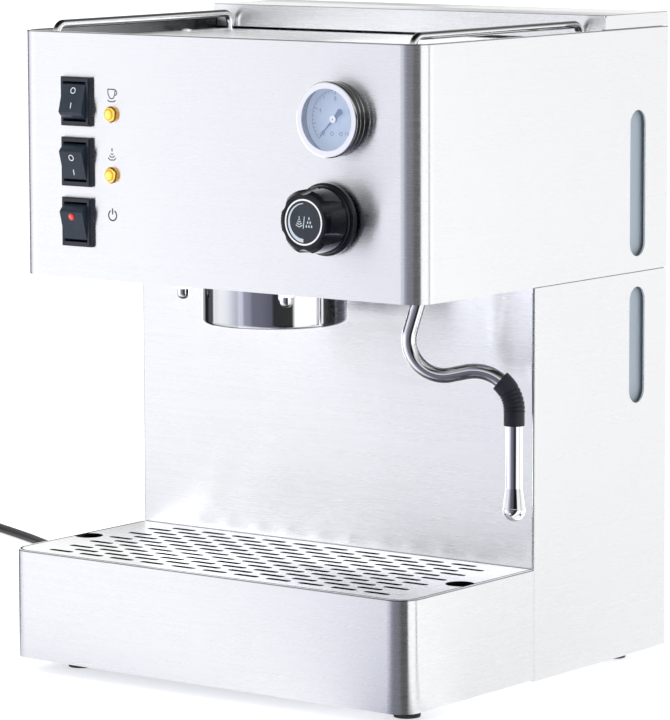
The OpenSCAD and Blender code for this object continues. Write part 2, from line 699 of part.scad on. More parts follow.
module suction_hose() color("#e6e8ea") at_front() {
    z0 = shelf_z - 30;
    pipe_run([[valve_x, valve_y, z0], [valve_x, valve_y, pump_z], [71, pump_y, pump_z]], [14], 8);
}

module tank_dock() color("#e4e2da") at_front() translate([valve_x, valve_y, shelf_z - 22]) difference() {
    union() {
        cylinder(r = valve_r + 5, h = 22);
        translate([0, 0, -8]) cylinder(r = 3.9, h = 9);
    }
    translate([0, 0, 8]) cylinder(r = valve_r + 0.6, h = 20);
    translate([0, 0, -9]) cylinder(r = 2, h = 20);
}

// ---- steam ----

module steam_valve() color(brass) at_front() facing(steam_x, steam_z) difference() {
    union() {
        translate([0, 0, -14]) cylinder(r = neck_r, h = 17);
        translate([0, 0, -46]) cylinder(r = 11, h = 32.5);
        cylinder(r = 11, h = 3, $fn = 6);
        translate([0, 0, -34]) rotate([0, -90, 0]) cylinder(r = 5, h = 15);
        translate([0, 0, -50]) cylinder(r = 5.5, h = 5);
    }
    translate([0, 0, -38]) cylinder(r = spindle_r + run, h = 60);
    translate([0, 0, -52]) cylinder(r = 2, h = 16);
    translate([0, 0, -34]) rotate([0, -90, 0]) cylinder(r = 2, h = 16);
}

module steam_pipes() color("#b87333") at_front() {
    z1 = boiler_top + 17;
    z2 = boiler_top + 29;
    x1 = steam_x - 20;
    pipe_run([[20, group_y + 18, z1], [20, group_y + 18, z2], [x1 - 10, group_y + 18, z2], [x1 - 10, 34, z2],
        [x1 - 10, 34, steam_z], [steam_x - 15, 34, steam_z]], [6, 6, 6, 6], 6);
    pipe_run([[steam_x, 50, steam_z], [steam_x, wand_y, steam_z], [wand_x, wand_y, steam_z],
        [wand_x, wand_y, ball_z + 19]], [6, 6], 6);
}

module steam_spindle() color(polished) at_front() facing(steam_x, steam_z) {
    translate([0, 0, -34]) cylinder(r = spindle_r, h = 34 + knob_reach - 6);
    translate([0, 0, -37]) cylinder(r1 = 1.6, r2 = spindle_r, h = 3);
}

// Knob with a stepped flange and flutes that run out towards it.
module steam_knob() color(black) at_front() facing(steam_x, steam_z) difference() {
    body_r = knob_r - 2.7;
    union() {
        rotate_extrude($fn = 96) {
            translate([0, 1.5]) square([knob_r - 1.5, 4.5]);
            translate([0, 3]) square([knob_r, 1.5]);
            for (y = [3, 4.5]) translate([knob_r - 1.5, y]) circle(1.5, $fn = 32);
            translate([0, 5]) square([knob_r - 2, 3.5]);
            translate([knob_r - 3, 7]) circle(1.6, $fn = 32);
            polygon([[0, 6], [body_r + 0.5, 6], [body_r + 0.3, 12], [body_r, knob_reach - 2.2],
                [body_r - 1.8, knob_reach - 0.4], [body_r - 3, knob_reach], [0, knob_reach]]);
        }
    }
    for (i = [0 : knob_flutes - 1]) rotate([0, 0, 90 + i * 360 / knob_flutes])
        intersection() {
            translate([body_r + 3.3, 0, knob_reach]) rotate([0, -10, 0])
                translate([0, 0, -30]) cylinder(r = 6, h = 40, $fn = 48);
            translate([0, 0, 9]) cylinder(r = 2 * knob_r, h = knob_reach);
        }
    translate([0, 0, knob_reach - 0.9]) cylinder(r = 13.8, h = 2);
    translate([0, 0, -cut]) cylinder(r = 13, h = 6.5 + cut);
    cylinder(r = spindle_r + run, h = knob_reach - 5.8);
}

module knob_cap() color("#2d2e34") at_front() facing(steam_x, steam_z)
    translate([0, 0, knob_reach - 0.9]) difference() {
        cylinder(r = 13.5, h = 0.8);
        translate([0, 0, 0.5]) cylinder(r = 12.2, h = 1);
    }

// ---- gauge ----

module gauge_case() color("#b9bcc2") at_front() facing(gauge_x, gauge_z) difference() {
    union() {
        translate([0, 0, -26]) cylinder(r = gauge_case_r, h = 26);
        translate([0, 0, -32]) cylinder(r = 5, h = 7, $fn = 6);
    }
    translate([0, 0, -8]) cylinder(r = gauge_case_r - 1.2, h = 20);
}

module gauge_bezel() color(polished) at_front() facing(gauge_x, gauge_z) rotate_extrude($fn = 96) difference() {
    union() {
        square([gauge_r, gauge_reach - 1.2]);
        translate([0, 2]) square([gauge_r - 1.2, gauge_reach - 2]);
        translate([gauge_r - 1.2, gauge_reach - 1.2]) circle(1.2, $fn = 32);
    }
    translate([-1, -1]) square([1 + gauge_case_r + 0.1, gauge_reach - 0.6]);
    translate([-1, -1]) square([1 + gauge_r - 4, 20]);
    for (y = [2.4, 6]) translate([gauge_r + 0.3, y]) circle(0.6, $fn = 24);
}

module gauge_dial() color("#b4c2d6") at_front() facing(gauge_x, gauge_z) difference() {
    cylinder(r = gauge_case_r - 0.2, h = 0.8);
    translate([0, 0, -cut]) cylinder(r = 1, h = 4);
}

module gauge_glass() color("#dfe8f0", 0.35) at_front() facing(gauge_x, gauge_z)
    translate([0, 0, gauge_reach - 3.2]) cylinder(r = gauge_case_r - 1.2, h = 1.5);

// Needle at zero: the pointer to the lower left, the broad tail to the upper right.
module gauge_needle() color("#4a5260") at_front() facing(gauge_x, gauge_z) {
    translate([0, 0, -4]) cylinder(r = 0.95, h = 6);
    translate([0, 0, 1.4]) cylinder(r = 1.8, h = 1.8);
    translate([0, 0, 1.8]) linear_extrude(0.5) rotate([0, 0, 225])
        polygon([[0, -0.7], [13.6, -0.15], [13.6, 0.15], [0, 0.7], [-6.5, 1.9], [-7.6, 0], [-6.5, -1.9]]);
}

// ---- switches and lamps ----

module switch_frame() difference() {
    union() {
        linear_extrude(bezel_t - 1) square([switch_w, switch_h], center = true);
        linear_extrude(bezel_t) square([switch_w - 1.6, switch_h - 1.6], center = true);
        translate([0, 0, -20]) linear_extrude(21) square([case_w, case_h], center = true);
        for (y = [-6, 0, 6]) translate([-2, y - 0.4, -28]) cube([4.8, 0.8, 9]);
    }
    translate([0, 0, -12]) linear_extrude(20) square([well_w, well_h], center = true);
    translate([-20, 0, -pivot_in]) rotate([0, 90, 0]) cylinder(r = pin_r + run, h = 40);
}

module switch_frames() color(black) at_front() for (z = switch_z) facing(switch_x, z) switch_frame();

// Rocker turned by a tilt: positive pushes its upper end out. Its ends curve around the pivot.
module rocker(z, tilt) {
    end = [for (a = [42 : -12 : 6]) (well_h / 2 - 0.5) * [-sin(a), cos(a)]];
    translate([switch_x, pivot_in, z]) rotate([tilt, 0, 0]) {
        rotate([0, -90, 0]) translate([0, 0, -rocker_w / 2]) linear_extrude(rocker_w) rotate([0, 0, 90])
            polygon(concat(end, [[3, 7], [3, -7]], [for (i = [len(end) - 1 : -1 : 0]) [end[i].x, -end[i].y]]));
        rotate([0, 90, 0]) translate([0, 0, -case_w / 2 + 0.3]) cylinder(r = pin_r, h = case_w - 0.6);
    }
}

module rocker_brew() color(black) at_front() rocker(switch_z[2], -rocker_tilt);

module rocker_steam() color(black) at_front() rocker(switch_z[1], rocker_tilt);

module rocker_power() color(black) at_front() rocker(switch_z[0], rocker_tilt);

module pilot_lamps() color("#e8a51c") at_front() for (z = lamp_z) facing(switch_x + lamp_dx, z) {
    translate([0, 0, -18]) cylinder(r = lamp_r - 0.9, h = 19);
    cylinder(r = lamp_r, h = 1.2);
    rotate_extrude() intersection() {
        translate([0, 1.2 - lamp_r * 0.45]) circle(lamp_r * 1.08);
        translate([0, 1]) square([lamp_r - 0.2, 10]);
    }
}

// ---- steam wand ----

module wand_socket() color(polished) at_front() translate([wand_x, wand_y, head_floor_top]) difference() {
    top = ball_z + 19 - head_floor_top;
    union() {
        cylinder(r = 18, h = 2);
        cylinder(r = seat_r + 2.5, h = top - 5);
        translate([0, 0, top - 6]) cylinder(r = 7, h = 6, $fn = 6);
    }
    // the cup drops in from below and is held by a thin lip
    translate([0, 0, -cut]) cylinder(r = seat_r + run, h = 1.7 + cut);
    cylinder(r = seat_r - 1, h = 10);
    translate([0, 0, 3.2]) cylinder(r = seat_r + run, h = top - 10);
    translate([0, 0, 3]) cylinder(r = 2, h = top + 1);
}

// Cup that turns in the socket and carries the ball of the pipe.
module wand_seat() color(brass) at_front() translate([wand_x, wand_y, ball_z]) difference() {
    z0 = head_floor_top + 3.2 + gap - ball_z;
    translate([0, 0, z0]) cylinder(r = seat_r, h = 4.5 - z0);
    sphere(r = ball_r + run, $fn = 96);
    cylinder(r = ball_r + run, h = 20);
    // way out for the pipe over its whole tilt
    way = asin(pipe_d / 2 / ball_r) + (tilt_in + tilt_out) / 2 + 2;
    rotate([0, 0, wand_turn]) rotate([0, pipe_lean + (tilt_in - tilt_out) / 2, 0]) translate([0, 0, -20])
        cylinder(r1 = 20 * tan(way), r2 = 0, h = 20);
}

// Wand pieces lie in one upright plane: local x runs outwards, the ball is at the origin.
module wand_plane() {
    translate([wand_x, wand_y, ball_z]) rotate([0, 0, wand_turn]) children();
}

low_corner = [-(ball_z - low_z) * tan(pipe_lean), 0, low_z - ball_z];
grip_corner = [wand_out, 0, grip_z - ball_z];
pipe_end = [wand_out, 0, grip_z - ball_z - 46];
wand_path = [[0, 0, 0], low_corner, grip_corner, pipe_end];

module wand_pipe() color(polished) at_front() wand_plane() difference() {
    union() {
        pipe_run(wand_path, [bend_low, bend_grip], pipe_d);
        sphere(r = ball_r, $fn = 96);
    }
    cylinder(r = 2.2, h = 20);
}

// Ribbed sleeve over the lower part of the bend above the nozzle.
module wand_grip() color(black) at_front() wand_plane() difference() {
    u = unit(grip_corner - low_corner);
    down = [0, 0, -1];
    turn = acos(u * down);
    across = unit(down - u * (u * down));
    lead = bend_grip * tan(turn / 2);
    rest = turn - grip_start;
    start = u * cos(grip_start) + across * sin(grip_start);
    mid = grip_corner + down * lead - [bend_grip, 0, 0];
    union() {
        elbow(grip_corner + down * (lead - bend_grip * tan(rest / 2)), start, down, bend_grip, 2 * grip_r);
        bar(grip_corner + down * (lead - weld), grip_corner + down * (lead + grip_tail), 2 * grip_r - 0.4);
    }
    // grooves between the ribs
    for (i = [0 : 5]) translate(mid) rotate([0, -2 - rib_step * i, 0]) translate([bend_grip, 0, 0])
        rotate_extrude($fn = 48) translate([grip_r, 0]) circle(0.45, $fn = 16);
    pipe_run([low_corner, grip_corner, pipe_end + [0, 0, -30]], [bend_grip], pipe_d + 2 * run);
}

// Lower tube with the bulb and its steam holes.
module wand_nozzle() color(polished) at_front() wand_plane() translate([wand_out, 0, 0]) difference() {
    tip = tip_z - ball_z;
    top = grip_z - ball_z - tangent_length(low_corner, grip_corner, pipe_end, bend_grip) - grip_tail;
    union() {
        translate([0, 0, tip + 19.2]) cylinder(r = nozzle_r, h = top - tip - 19.2);
        translate([0, 0, tip + bulb_r]) sphere(r = bulb_r, $fn = 96);
        translate([0, 0, tip + bulb_r + 1.6]) cylinder(r1 = bulb_r - 0.2, r2 = nozzle_r, h = 11.2);
    }
    translate([0, 0, tip + 22]) cylinder(r = pipe_d / 2 + run, h = 200);
    translate([0, 0, tip + 8]) cylinder(r = 2, h = 20);
    for (a = [45 : 90 : 315]) translate([0, 0, tip + 9]) rotate([0, 0, a]) rotate([0, 125, 0])
        cylinder(r = 0.6, h = 12, $fn = 16);
}

// ---- drip tray ----

module drip_tray() color(polished) at_front() {
    x1 = grid_x - 6.5;
    y0 = grid_y0 + 6.5;
    y1 = grid_y1 - 6.5;
    z0 = floor_top + gap;
    difference() {
        union() {
            slab(z0, pan_rim_z) round_rect(-x1, x1, y0, y1, 12);
            slab(pan_rim_z - tray_wall, pan_rim_z) round_rect(-grid_x + gap, grid_x - gap, grid_y0 + gap, grid_y1 - gap, 8);
        }
        slab(z0 + tray_wall, pan_rim_z + cut)
            round_rect(-x1 + tray_wall, x1 - tray_wall, y0 + tray_wall, y1 - tray_wall, 12 - tray_wall);
    }
}

// Sheet with turned-down edges, staggered rows of slots and two finger cut-outs.
module drip_grid() color(steel) at_front() difference() {
    margin = 16;
    r = corner_r - sheet - grid_gap;
    columns = floor((2 * grid_x - 2 * margin - slot_l) / slot_step) + 1;
    rows = floor((grid_y1 - grid_y0 - 2 * 8 - slot_w) / row_step) + 1;
    slab(base_top - grid_skirt, base_top) front_round(2 * grid_x, grid_y0, grid_y1, r);
    slab(base_top - grid_skirt - cut, base_top - sheet)
        front_round(2 * (grid_x - sheet), grid_y0 + sheet, grid_y1 - sheet, r - sheet);
    for (row = [0 : rows - 1]) for (i = [0 : columns - 1 - row % 2])
        translate([(i - (columns - 1 - row % 2) / 2) * slot_step, grid_mid + (row - (rows - 1) / 2) * row_step,
            base_top - sheet - cut]) linear_extrude(sheet + 2 * cut) slot_outline(slot_l, slot_w);
    for (s = [-1, 1]) translate([s * (grid_x - finger_in), grid_mid, base_top - grid_skirt - cut])
        cylinder(r = finger_r, h = grid_skirt + 2 * cut);
}

// ---- water tank ----

module water_tank() color("#9fb4c8", 0.5) at_front() difference() {
    slab(tank_z, tank_top) round_rect(-tank_x, tank_x, tank_y0, tank_y1, tank_r);
    // inside, open at the top
    slab(tank_z + tank_wall, tank_top + cut)
        round_rect(-tank_x + tank_wall, tank_x - tank_wall, tank_y0 + tank_wall, tank_y1 - tank_wall, max(0.5, tank_r - tank_wall));
    translate([valve_x, valve_y, tank_z - cut]) cylinder(r = valve_r + run, h = 10);
}

module tank_valve() color("#e4e2da") at_front() translate([valve_x, valve_y, tank_z]) difference() {
    union() {
        translate([0, 0, tank_wall]) cylinder(r = 9, h = 2.5);
        translate([0, 0, -11]) cylinder(r = valve_r, h = 14);
    }
    translate([0, 0, -12]) cylinder(r = 3, h = 40);
}

module tank_lid() color(steel) at_front() difference() {
    y1 = lid_y + sheet;
    union() {
        block(-body_w / 2, body_w / 2, lid_y, body_d, head_top + gap, lid_top);
        block(-in_x + sheet + 0.5, in_x - sheet - 0.5, lid_y, body_d, tray_top + 1.5, lid_top);
    }
    // hollow behind the front skirt, with tabs that locate it between the side walls
    block(-in_x, in_x, y1, body_d - sheet, head_top - 20, lid_top - sheet);
    block(-in_x - 1, in_x + 1, y1, body_d + cut, tray_top - cut, head_top + gap);
    // relief holes at the folded corners
    for (s = [-1, 1]) for (y = [lid_y, body_d]) translate([s * body_w / 2, y, lid_top - 1.4]) cylinder(r = 1, h = 3);
}

// ---- cord ----

module strain_relief() color(black) at_front() facing_rear(exit_x, body_d - sheet, exit_z) difference() {
    union() {
        cylinder(r = 6.9, h = sheet + 1);
        translate([0, 0, sheet]) cylinder(r = 9.5, h = 2.5);
        translate([0, 0, sheet + 2]) cylinder(r1 = 6.5, r2 = 3.9, h = relief_l - 2);
    }
    for (i = [0 : 4]) translate([0, 0, sheet + 8 + i * 4.6]) difference() {
        cylinder(r = 10, h = 1.6);
        translate([0, 0, -cut]) cylinder(r = 4.6 - i * 0.35, h = 4);
    }
    translate([0, 0, -cut]) cylinder(r = 2, h = 4);
}

// Tube through the given points: a ring of corners at each, joined by triangles.
module swept_tube(pts, r, sides) {
    n = len(pts);
    dirs = [for (i = [0 : n - 1]) unit(pts[min(i + 1, n - 1)] - pts[max(i - 1, 0)])];
    rings = [for (i = [0 : n - 1]) let (side = unit(cross(dirs[i], [0, 0, 1])), up = cross(side, dirs[i]))
        for (k = [0 : sides - 1]) pts[i] + r * (cos(360 * k / sides) * side + sin(360 * k / sides) * up)];
    skin = [for (i = [0 : n - 2]) for (k = [0 : sides - 1]) let (a = i * sides + k, b = i * sides + (k + 1) % sides)
        each [[a, b, b + sides], [a, b + sides, a + sides]]];
    start = [for (k = [1 : sides - 2]) [0, k + 1, k]];
    end = [for (k = [1 : sides - 2]) let (e = (n - 1) * sides) [e, e + k, e + k + 1]];
    polyhedron(rings, concat(skin, start, end));
}

// Smooth curve through hand-set points, with a point between each two.
function spline_at(a, b, c, d, t) =
    0.5 * (2 * b + (c - a) * t + (2 * a - 5 * b + 4 * c - d) * t * t + (3 * b - a - 3 * c + d) * t * t * t);
function smooth(p) = let (n = len(p)) [for (i = [0 : n - 2]) for (t = [0, 0.5])
    spline_at(p[max(i - 1, 0)], p[i], p[i + 1], p[min(i + 2, n - 1)], t), p[n - 1]];

module power_cord() color(black) at_front() {
    swept_tube(smooth(cord_route), cord_d / 2, 8);
    swept_tube(smooth(tail_route), cord_d / 2, 8);
}

module cord_coil() color(black) at_front() translate([coil_mid.x, coil_mid.y, 0]) rotate_extrude()
    round_rect(coil_r - cord_d, coil_r + cord_d, 0, 2 * cord_d, 2.5);

module plug() color(black) at_front() translate([tail_route[7].x, tail_route[7].y, plug_r]) rotate([90, 0, 0]) {
    rotate_extrude() {
        polygon([[0, 0], [3.6, 0], [6, 14], [12, 20], [plug_r - 1.5, 24], [plug_r, 27], [plug_r, 44], [0, 44]]);
    }
    for (s = [-1, 1]) translate([s * 9.5, 0, 43]) {
        cylinder(r = 2.4, h = 18);
        translate([0, 0, 18]) sphere(r = 2.4);
    }
}

head_shell();
head_floor();
column_shell();
base_shell();
floor_plate();
back_panel();
feet();
case_screws();
cup_tray();
rail_left();
rail_right();
tank_shelf();
terminal_block();
group_collar();
group_bell();
acorn_nuts();
group_gasket();
water_spreader();
shower_screen();
boiler_shell();
boiler_cap();
boiler_bolts();
heating_element();
thermostats();
pump_body();
pump_nozzles();
pump_bracket();
pump_mounts();
water_pipes();
suction_hose();
tank_dock();
steam_valve();
steam_pipes();
steam_spindle();
steam_knob();
knob_cap();
gauge_case();
gauge_bezel();
gauge_dial();
gauge_glass();
gauge_needle();
switch_frames();
rocker_brew();
rocker_steam();
rocker_power();
pilot_lamps();
wand_socket();
wand_seat();
wand_pipe();
wand_grip();
wand_nozzle();
drip_tray();
drip_grid();
water_tank();
tank_valve();
tank_lid();
strain_relief();
power_cord();
cord_coil();
plug();
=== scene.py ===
"""Looks of an espresso machine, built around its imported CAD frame.

The housing, the group, the wand and everything that moves come from the frame. This file gives
each of them its finish, and models what the construction leaves out: the mains cord, the
printed marks on the controls and the gauge's scale.
"""

from __future__ import annotations

import json
import logging
import math
from dataclasses import dataclass, field
from enum import Enum
from typing import Iterable, Sequence

import bmesh
import bpy
from mathutils import Matrix, Vector

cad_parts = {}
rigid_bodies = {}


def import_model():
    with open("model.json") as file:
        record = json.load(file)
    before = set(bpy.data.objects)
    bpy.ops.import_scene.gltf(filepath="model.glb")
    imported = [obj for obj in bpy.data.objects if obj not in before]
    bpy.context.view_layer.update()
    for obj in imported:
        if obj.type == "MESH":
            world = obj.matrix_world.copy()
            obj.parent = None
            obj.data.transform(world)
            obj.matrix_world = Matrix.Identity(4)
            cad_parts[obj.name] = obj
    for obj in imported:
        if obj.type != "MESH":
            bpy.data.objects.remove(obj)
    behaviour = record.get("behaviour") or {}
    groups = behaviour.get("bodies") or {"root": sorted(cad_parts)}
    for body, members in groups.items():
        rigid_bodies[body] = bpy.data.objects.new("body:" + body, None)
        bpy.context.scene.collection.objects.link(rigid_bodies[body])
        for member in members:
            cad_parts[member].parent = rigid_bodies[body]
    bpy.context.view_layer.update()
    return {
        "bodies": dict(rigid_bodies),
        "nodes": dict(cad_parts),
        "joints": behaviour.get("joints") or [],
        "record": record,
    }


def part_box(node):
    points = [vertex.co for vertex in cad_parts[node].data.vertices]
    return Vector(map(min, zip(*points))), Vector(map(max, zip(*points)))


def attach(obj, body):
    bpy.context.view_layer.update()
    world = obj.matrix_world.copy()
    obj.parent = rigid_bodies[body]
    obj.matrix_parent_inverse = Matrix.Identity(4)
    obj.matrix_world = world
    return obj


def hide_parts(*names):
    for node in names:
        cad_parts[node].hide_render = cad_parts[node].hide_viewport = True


LOG = logging.getLogger("espresso_machine")
MM = 0.001
Point = tuple[float, float, float]
Colour = tuple[float, float, float]
Flat = tuple[float, float]
BMesh = bmesh.types.BMesh
Material = bpy.types.Material
Node = bpy.types.Node
Piece = bpy.types.Object
Socket = bpy.types.NodeSocket
Sockets = bpy.types.bpy_prop_collection
Tree = bpy.types.NodeTree


# ---- shader building


class Graph:
    """Thin wrapper around a node tree that keeps the building code short."""

    def __init__(self, tree: Tree) -> None:
        """Wraps a material's, a world's or a group's node tree."""
        self.tree = tree

    def add(self, kind: str, feeds: dict | None = None, **settings: object) -> Node:
        """Adds a node.

        Args:
            kind: Blender's node type name.
            feeds: input names or indices with a value or a socket to link.
            settings: properties of the node.

        Returns:
            The new node.
        """
        node = self.tree.nodes.new(kind)
        for key, value in settings.items():
            setattr(node, key, value)
        for key, value in (feeds or {}).items():
            self.feed(node.inputs[key], value)
        return node

    def feed(self, socket: Socket, value: object) -> None:
        """Sets a socket's value, or links another socket to it.

        Args:
            socket: the input to set.
            value: a plain value, or the socket to link.
        """
        if isinstance(value, Socket):
            self.tree.links.new(value, socket)
        else:
            socket.default_value = value

    def give(self, node: Node, **feeds: object) -> None:
        """Feeds a node's inputs, named with underscores for spaces."""
        for key, value in feeds.items():
            self.feed(node.inputs[key.replace("_", " ")], value)

    def math(self, operation: str, *values: object) -> Socket:
        """Adds a Math node.

        Args:
            operation: the node's operation.
            values: numbers or sockets, in order.

        Returns:
            The result socket.
        """
        node = self.add("ShaderNodeMath", operation=operation)
        for index, value in enumerate(values):
            self.feed(node.inputs[index], value)
        return node.outputs[0]

    def mix(self, factor: object, low: object, high: object) -> Socket:
        """Mixes two numbers by a factor and returns the result socket."""
        node = self.add("ShaderNodeMix", {0: factor, 2: low, 3: high})
        return node.outputs[0]

    def mix_colour(self, factor: object, low: object, high: object) -> Socket:
        """Mixes two colours by a factor and returns the result socket."""
        node = self.add("ShaderNodeMix", {0: factor, 6: low, 7: high}, data_type="RGBA")
        return node.outputs[2]

    def spread(self, value: object, low: float, high: float, out_low: float, out_high: float) -> Socket:
        """Maps a range of values onto another and returns the result socket."""
        return self.add("ShaderNodeMapRange", {0: value, 1: low, 2: high, 3: out_low, 4: out_high}).outputs[0]

    def ramp(self, value: object, stops: Sequence[tuple[float, Colour]]) -> Socket:
        """Colours a value.

        Args:
            value: the number to colour, from 0 to 1.
            stops: positions with their colours, in order.

        Returns:
            The colour socket.
        """
        node = self.add("ShaderNodeValToRGB", {0: value})
        elements = node.color_ramp.elements
        while len(elements) < len(stops):
            elements.new(1.0)
        for element, (position, colour) in zip(elements, stops):
            element.position = position
            element.color = rgba(colour)
        return node.outputs[0]

    def noise(self, vector: object, scale: object, detail: float = 3.0, roughness: float = 0.5) -> Socket:
        """Adds a noise texture and returns its value socket."""
        feeds = {"Vector": vector, "Scale": scale, "Detail": detail, "Roughness": roughness}
        return self.add("ShaderNodeTexNoise", feeds).outputs[0]

    def scaled(self, colour: object, factor: object) -> Socket:
        """Multiplies a colour by a number and returns the result socket."""
        return self.add("ShaderNodeVectorMath", {0: colour, "Scale": factor}, operation="SCALE").outputs[0]

    def place(self, kind: str) -> Sockets:
        """Parts X, Y and Z of the spot in one kind of texture coordinates."""
        return self.add("ShaderNodeSeparateXYZ", {0: self.add("ShaderNodeTexCoord").outputs[kind]}).outputs

    def geometry(self, kind: str) -> Sockets:
        """Parts X, Y and Z of a position or a normal."""
        return self.add("ShaderNodeSeparateXYZ", {0: self.add("ShaderNodeNewGeometry").outputs[kind]}).outputs

    def distance(self, along: object, across: object) -> Socket:
        """Length of two parts taken together."""
        squares = self.math("ADD", self.math("POWER", along, 2.0), self.math("POWER", across, 2.0))
        return self.math("SQRT", squares)

    def effect(self, group: Tree, size: float) -> Socket:
        """Uses a shared group at a given size and returns its first output."""
        return self.add("ShaderNodeGroup", {"Size": size}, node_tree=group).outputs[0]

    def bump(self, shader: Node, strength: float, distance: float, height: object) -> None:
        """Raises a shader's surface by a height."""
        node = self.add("ShaderNodeBump", {"Strength": strength, "Distance": distance, "Height": height})
        self.give(shader, Normal=node.outputs[0])


def rgba(colour: Colour) -> tuple[float, float, float, float]:
    """Adds an opaque alpha to a colour."""
    return (*colour, 1.0)


class SurfaceEffects:
    """The shader groups that several finishes share, each built once."""

    def __init__(self) -> None:
        """Builds every group."""
        self.brushing = self._brushing()
        self.smudges = self._smudges()
        self.grain = self._grain()

    @staticmethod
    def _new(name: str, inputs: Iterable[tuple[str, float]], outputs: Iterable[str]) -> tuple[Graph, Node, Node]:
        """Starts a group.

        Args:
            name: the group's name.
            inputs: names and default values of its number inputs.
            outputs: names of its number outputs.

        Returns:
            The graph, its input node and its output node.
        """
        tree = bpy.data.node_groups.new(name, "ShaderNodeTree")
        for label, value in inputs:
            socket = tree.interface.new_socket(name=label, in_out="INPUT", socket_type="NodeSocketFloat")
            socket.default_value = value
        for label in outputs:
            tree.interface.new_socket(name=label, in_out="OUTPUT", socket_type="NodeSocketFloat")
        graph = Graph(tree)
        return graph, graph.add("NodeGroupInput"), graph.add("NodeGroupOutput")

    def _brushing(self) -> Tree:
        """Fine lines of a brushed sheet, which run level on walls and along the width on flat tops.

        Returns:
            The group's tree.
        """
        inputs = [("Line width", 0.0003), ("Line run", 0.04)]
        graph, source, sink = self._new("brushing", inputs, ["Lines", "Streaks"])
        place = graph.place("Object")
        flat = graph.math("GREATER_THAN", graph.math("ABSOLUTE", graph.geometry("True Normal")["Z"]), 0.7)
        across = graph.mix(flat, place["Z"], place["Y"])
        along = graph.math("ADD", place["X"], graph.mix(flat, place["Y"], 0.0))
        fine = graph.add("ShaderNodeCombineXYZ", {
            0: graph.math("DIVIDE", along, source.outputs["Line run"]),
            1: graph.math("DIVIDE", across, source.outputs["Line width"]),
        })
        broad = graph.add("ShaderNodeVectorMath", {0: fine.outputs[0], 1: (0.3, 0.09, 1.0)}, operation="MULTIPLY")
        graph.give(sink, Lines=graph.noise(fine.outputs[0], 1.0, 4.0, 0.7))
        graph.give(sink, Streaks=graph.noise(broad.outputs[0], 1.0, 3.0, 0.65))
        return graph.tree

    def _smudges(self) -> Tree:
        """Soft patches where a surface has been handled and wiped.

        Returns:
            The group's tree.
        """
        graph, source, sink = self._new("smudges", [("Size", 0.03)], ["Mask"])
        place = graph.add("ShaderNodeTexCoord").outputs["Object"]
        scale = graph.math("DIVIDE", 1.0, source.outputs["Size"])
        big = graph.noise(place, scale)
        small = graph.noise(place, graph.math("MULTIPLY", scale, 6.0), 2.0)
        both = graph.math("MULTIPLY_ADD", small, 0.35, big)
        graph.give(sink, Mask=graph.spread(both, 0.5, 0.85, 0.0, 1.0))
        return graph.tree

    def _grain(self) -> Tree:
        """Fine grain of moulded plastic or rubber.

        Returns:
            The group's tree.
        """
        graph, source, sink = self._new("grain", [("Size", 0.0004)], ["Height"])
        place = graph.add("ShaderNodeTexCoord").outputs["Object"]
        scale = graph.math("DIVIDE", 1.0, source.outputs["Size"])
        graph.give(sink, Height=graph.noise(place, scale, 2.0))
        return graph.tree


@dataclass(frozen=True)
class Finish:
    """What every finish has: a name, a base colour and a roughness."""

    name: str
    colour: Colour
    roughness: float = 0.3

    def start(self, **sockets: float) -> tuple[Material, Graph, Node]:
        """Makes the material with its Principled shader.

        Args:
            sockets: plain values for the shader's sockets, with underscores for spaces.

        Returns:
            The material, its graph and the shader node.
        """
        material = bpy.data.materials.new(self.name)
        material.use_nodes = True
        graph = Graph(material.node_tree)
        shader = material.node_tree.nodes["Principled BSDF"]
        shader.inputs["Base Color"].default_value = rgba(self.colour)
        material.diffuse_color = rgba(self.colour)
        graph.give(shader, **sockets)
        return material, graph, shader

    def toned(self, factor: float = 1.0, more: float = 0.0) -> tuple[float, float, float, float]:
        """The finish's colour, scaled and raised, with an opaque alpha."""
        return rgba(tuple(min(1.0, c * factor + more) for c in self.colour))

    def smear(self, graph: Graph, shader: Node, smudge: Socket, more: float) -> None:
        """Makes a shader rougher where it is smudged."""
        rough = graph.spread(smudge, 0.0, 1.0, self.roughness, min(1.0, self.roughness + more))
        graph.give(shader, Roughness=rough)

    def build(self, effects: SurfaceEffects) -> Material:
        """Builds the material; each kind of finish does it its own way.

        Args:
            effects: the shared shader groups.

        Returns:
            The material.
        """
        raise NotImplementedError


